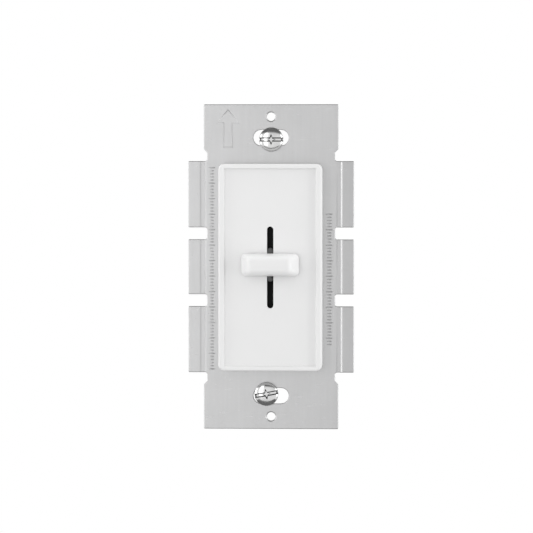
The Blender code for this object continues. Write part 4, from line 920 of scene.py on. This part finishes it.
UP_ARROW = (
    (-13.9, 50.6),
    (-10.4, 46.4),
    (-12.5, 46.4),
    (-12.5, 38.6),
    (-15.3, 38.6),
    (-15.3, 46.4),
    (-17.4, 46.4),
)
raised_line("up_arrow", UP_ARROW, STRAP_FRONT, 0.45 * MM, 0.08 * MM, ALUMINIUM)
STRIP_GAUGE = ((-8.0, -18.0), (8.0, -18.0), (8.0, -19.5), (-8.0, -19.5))
raised_line("strip_gauge", STRIP_GAUGE, HOUSING_BACK - BACK_SUNK, 0.5 * MM, 0.2 * MM, HOUSING_BLACK)


# Studio

FLOOR_BELOW = 0.6
FLOOR_HALF = 0.8
FLOOR_PALE = 0.8
FLOOR_MIRRORED = 0.2
FLOOR_WHITENED = 0.75
AMBIENT = 0.735
REFLECTED = 1.0
OVERHEAD_FROM = 0.42
OVERHEAD_RUN = 0.14
OVERHEAD_DROP = 0.84
CAMERA_REACH = 1.0
CAMERA_ASIDE = 3.0
CAMERA_ABOVE = 2.0
CAMERA_AIM = (-1.5 * MM, -0.8 * MM, 0.1 * MM)
SENSOR = 36.0
PICTURE_PIXELS = 533
PIXEL = 0.323 * MM


def studio_world():
    """White behind the dimmer and in its reflections, darker overhead, and a plain level of light."""
    world = bpy.data.worlds.new("studio")
    SCENE.world = world
    world.use_nodes = True
    graph = Graph(world.node_tree)
    seen = graph.add("ShaderNodeLightPath", output="Is Camera Ray")
    mirrored = (seen.other("Is Glossy Ray") + seen.other("Is Transmission Ray")).kept()
    direction = graph.add("ShaderNodeTexCoord", output="Generated")
    upward = graph.add("ShaderNodeSeparateXYZ", None, {"Vector": direction}, "Z")
    overhead = ((upward - OVERHEAD_FROM) / OVERHEAD_RUN).kept()
    reflected = REFLECTED * (1.0 - overhead * OVERHEAD_DROP)
    level = AMBIENT + mirrored * (reflected - AMBIENT)
    strength = level + seen * (1.0 - level)
    white = {"Color": opaque(grey(1.0)), "Strength": strength}
    shader = graph.add("ShaderNodeBackground", None, white)
    graph.add("ShaderNodeOutputWorld", None, {"Surface": shader})


def studio_floor():
    """A pale floor well below, which the camera sees nearly white and which keeps the shadow."""
    shape = bmesh.new()
    bmesh.ops.create_grid(shape, x_segments=1, y_segments=1, size=FLOOR_HALF)
    bmesh.ops.translate(shape, verts=shape.verts, vec=(0.0, 0.0, -FLOOR_BELOW))
    mesh = bpy.data.meshes.new("studio_floor")
    shape.to_mesh(mesh)
    shape.free()
    floor = bpy.data.objects.new("studio_floor", mesh)
    SCENE.collection.objects.link(floor)
    finish = bpy.data.materials.new("pale floor")
    finish.use_nodes = True
    graph = Graph(finish.node_tree)
    seen = graph.add("ShaderNodeLightPath", output="Is Camera Ray")
    colour = graph.blend(seen.other("Is Glossy Ray"), grey(FLOOR_PALE), grey(FLOOR_MIRRORED))
    matt = graph.add("ShaderNodeBsdfDiffuse", None, {"Color": colour})
    white = graph.add("ShaderNodeEmission", None, {"Color": opaque(grey(1.0)), "Strength": 1.0})
    shader = graph.add("ShaderNodeMixShader", None, {0: seen * FLOOR_WHITENED, 1: matt, 2: white})
    graph.add("ShaderNodeOutputMaterial", None, {"Surface": shader})
    mesh.materials.append(finish)


def softbox(name, place, width, height, watts, mirrored=True):
    """A rectangular lamp that faces the middle of the dimmer, and that bright metal may mirror."""
    lamp = bpy.data.lights.new(name, "AREA")
    lamp.shape = "RECTANGLE"
    lamp.size = width
    lamp.size_y = height
    lamp.energy = watts
    holder = bpy.data.objects.new(name, lamp)
    holder.location = place
    holder.visible_glossy = mirrored
    holder.rotation_euler = (-Vector(place)).to_track_quat("-Z", "Y").to_euler()
    SCENE.collection.objects.link(holder)


def studio_camera():
    """A long lens a metre away, a little to the right of the dimmer and above it."""
    aside, above = math.radians(CAMERA_ASIDE), math.radians(CAMERA_ABOVE)
    level = math.cos(above)
    offset = Vector((math.sin(aside) * level, -math.cos(aside) * level, math.sin(above)))
    view = bpy.data.cameras.new("front view")
    view.sensor_width = SENSOR
    view.lens = SENSOR * CAMERA_REACH / (PICTURE_PIXELS * PIXEL)
    camera = bpy.data.objects.new("front view", view)
    camera.location = Vector(CAMERA_AIM) + offset * CAMERA_REACH
    camera.rotation_euler = (-offset).to_track_quat("-Z", "Y").to_euler()
    SCENE.collection.objects.link(camera)
    SCENE.camera = camera


studio_world()
studio_floor()
softbox("left box", (-0.53, -0.14, 0.05), 0.25, 0.5, 0.75)
softbox("right box", (0.53, -0.14, 0.05), 0.25, 0.5, 1.25)
softbox("strip box", (-0.17, -0.35, 0.05), 0.12, 0.4, 0.26)
softbox("top box", (0.0, -0.03, 0.55), 0.6, 0.2, 0.7, mirrored=False)
studio_camera()
SCENE.view_settings.view_transform = "Standard"
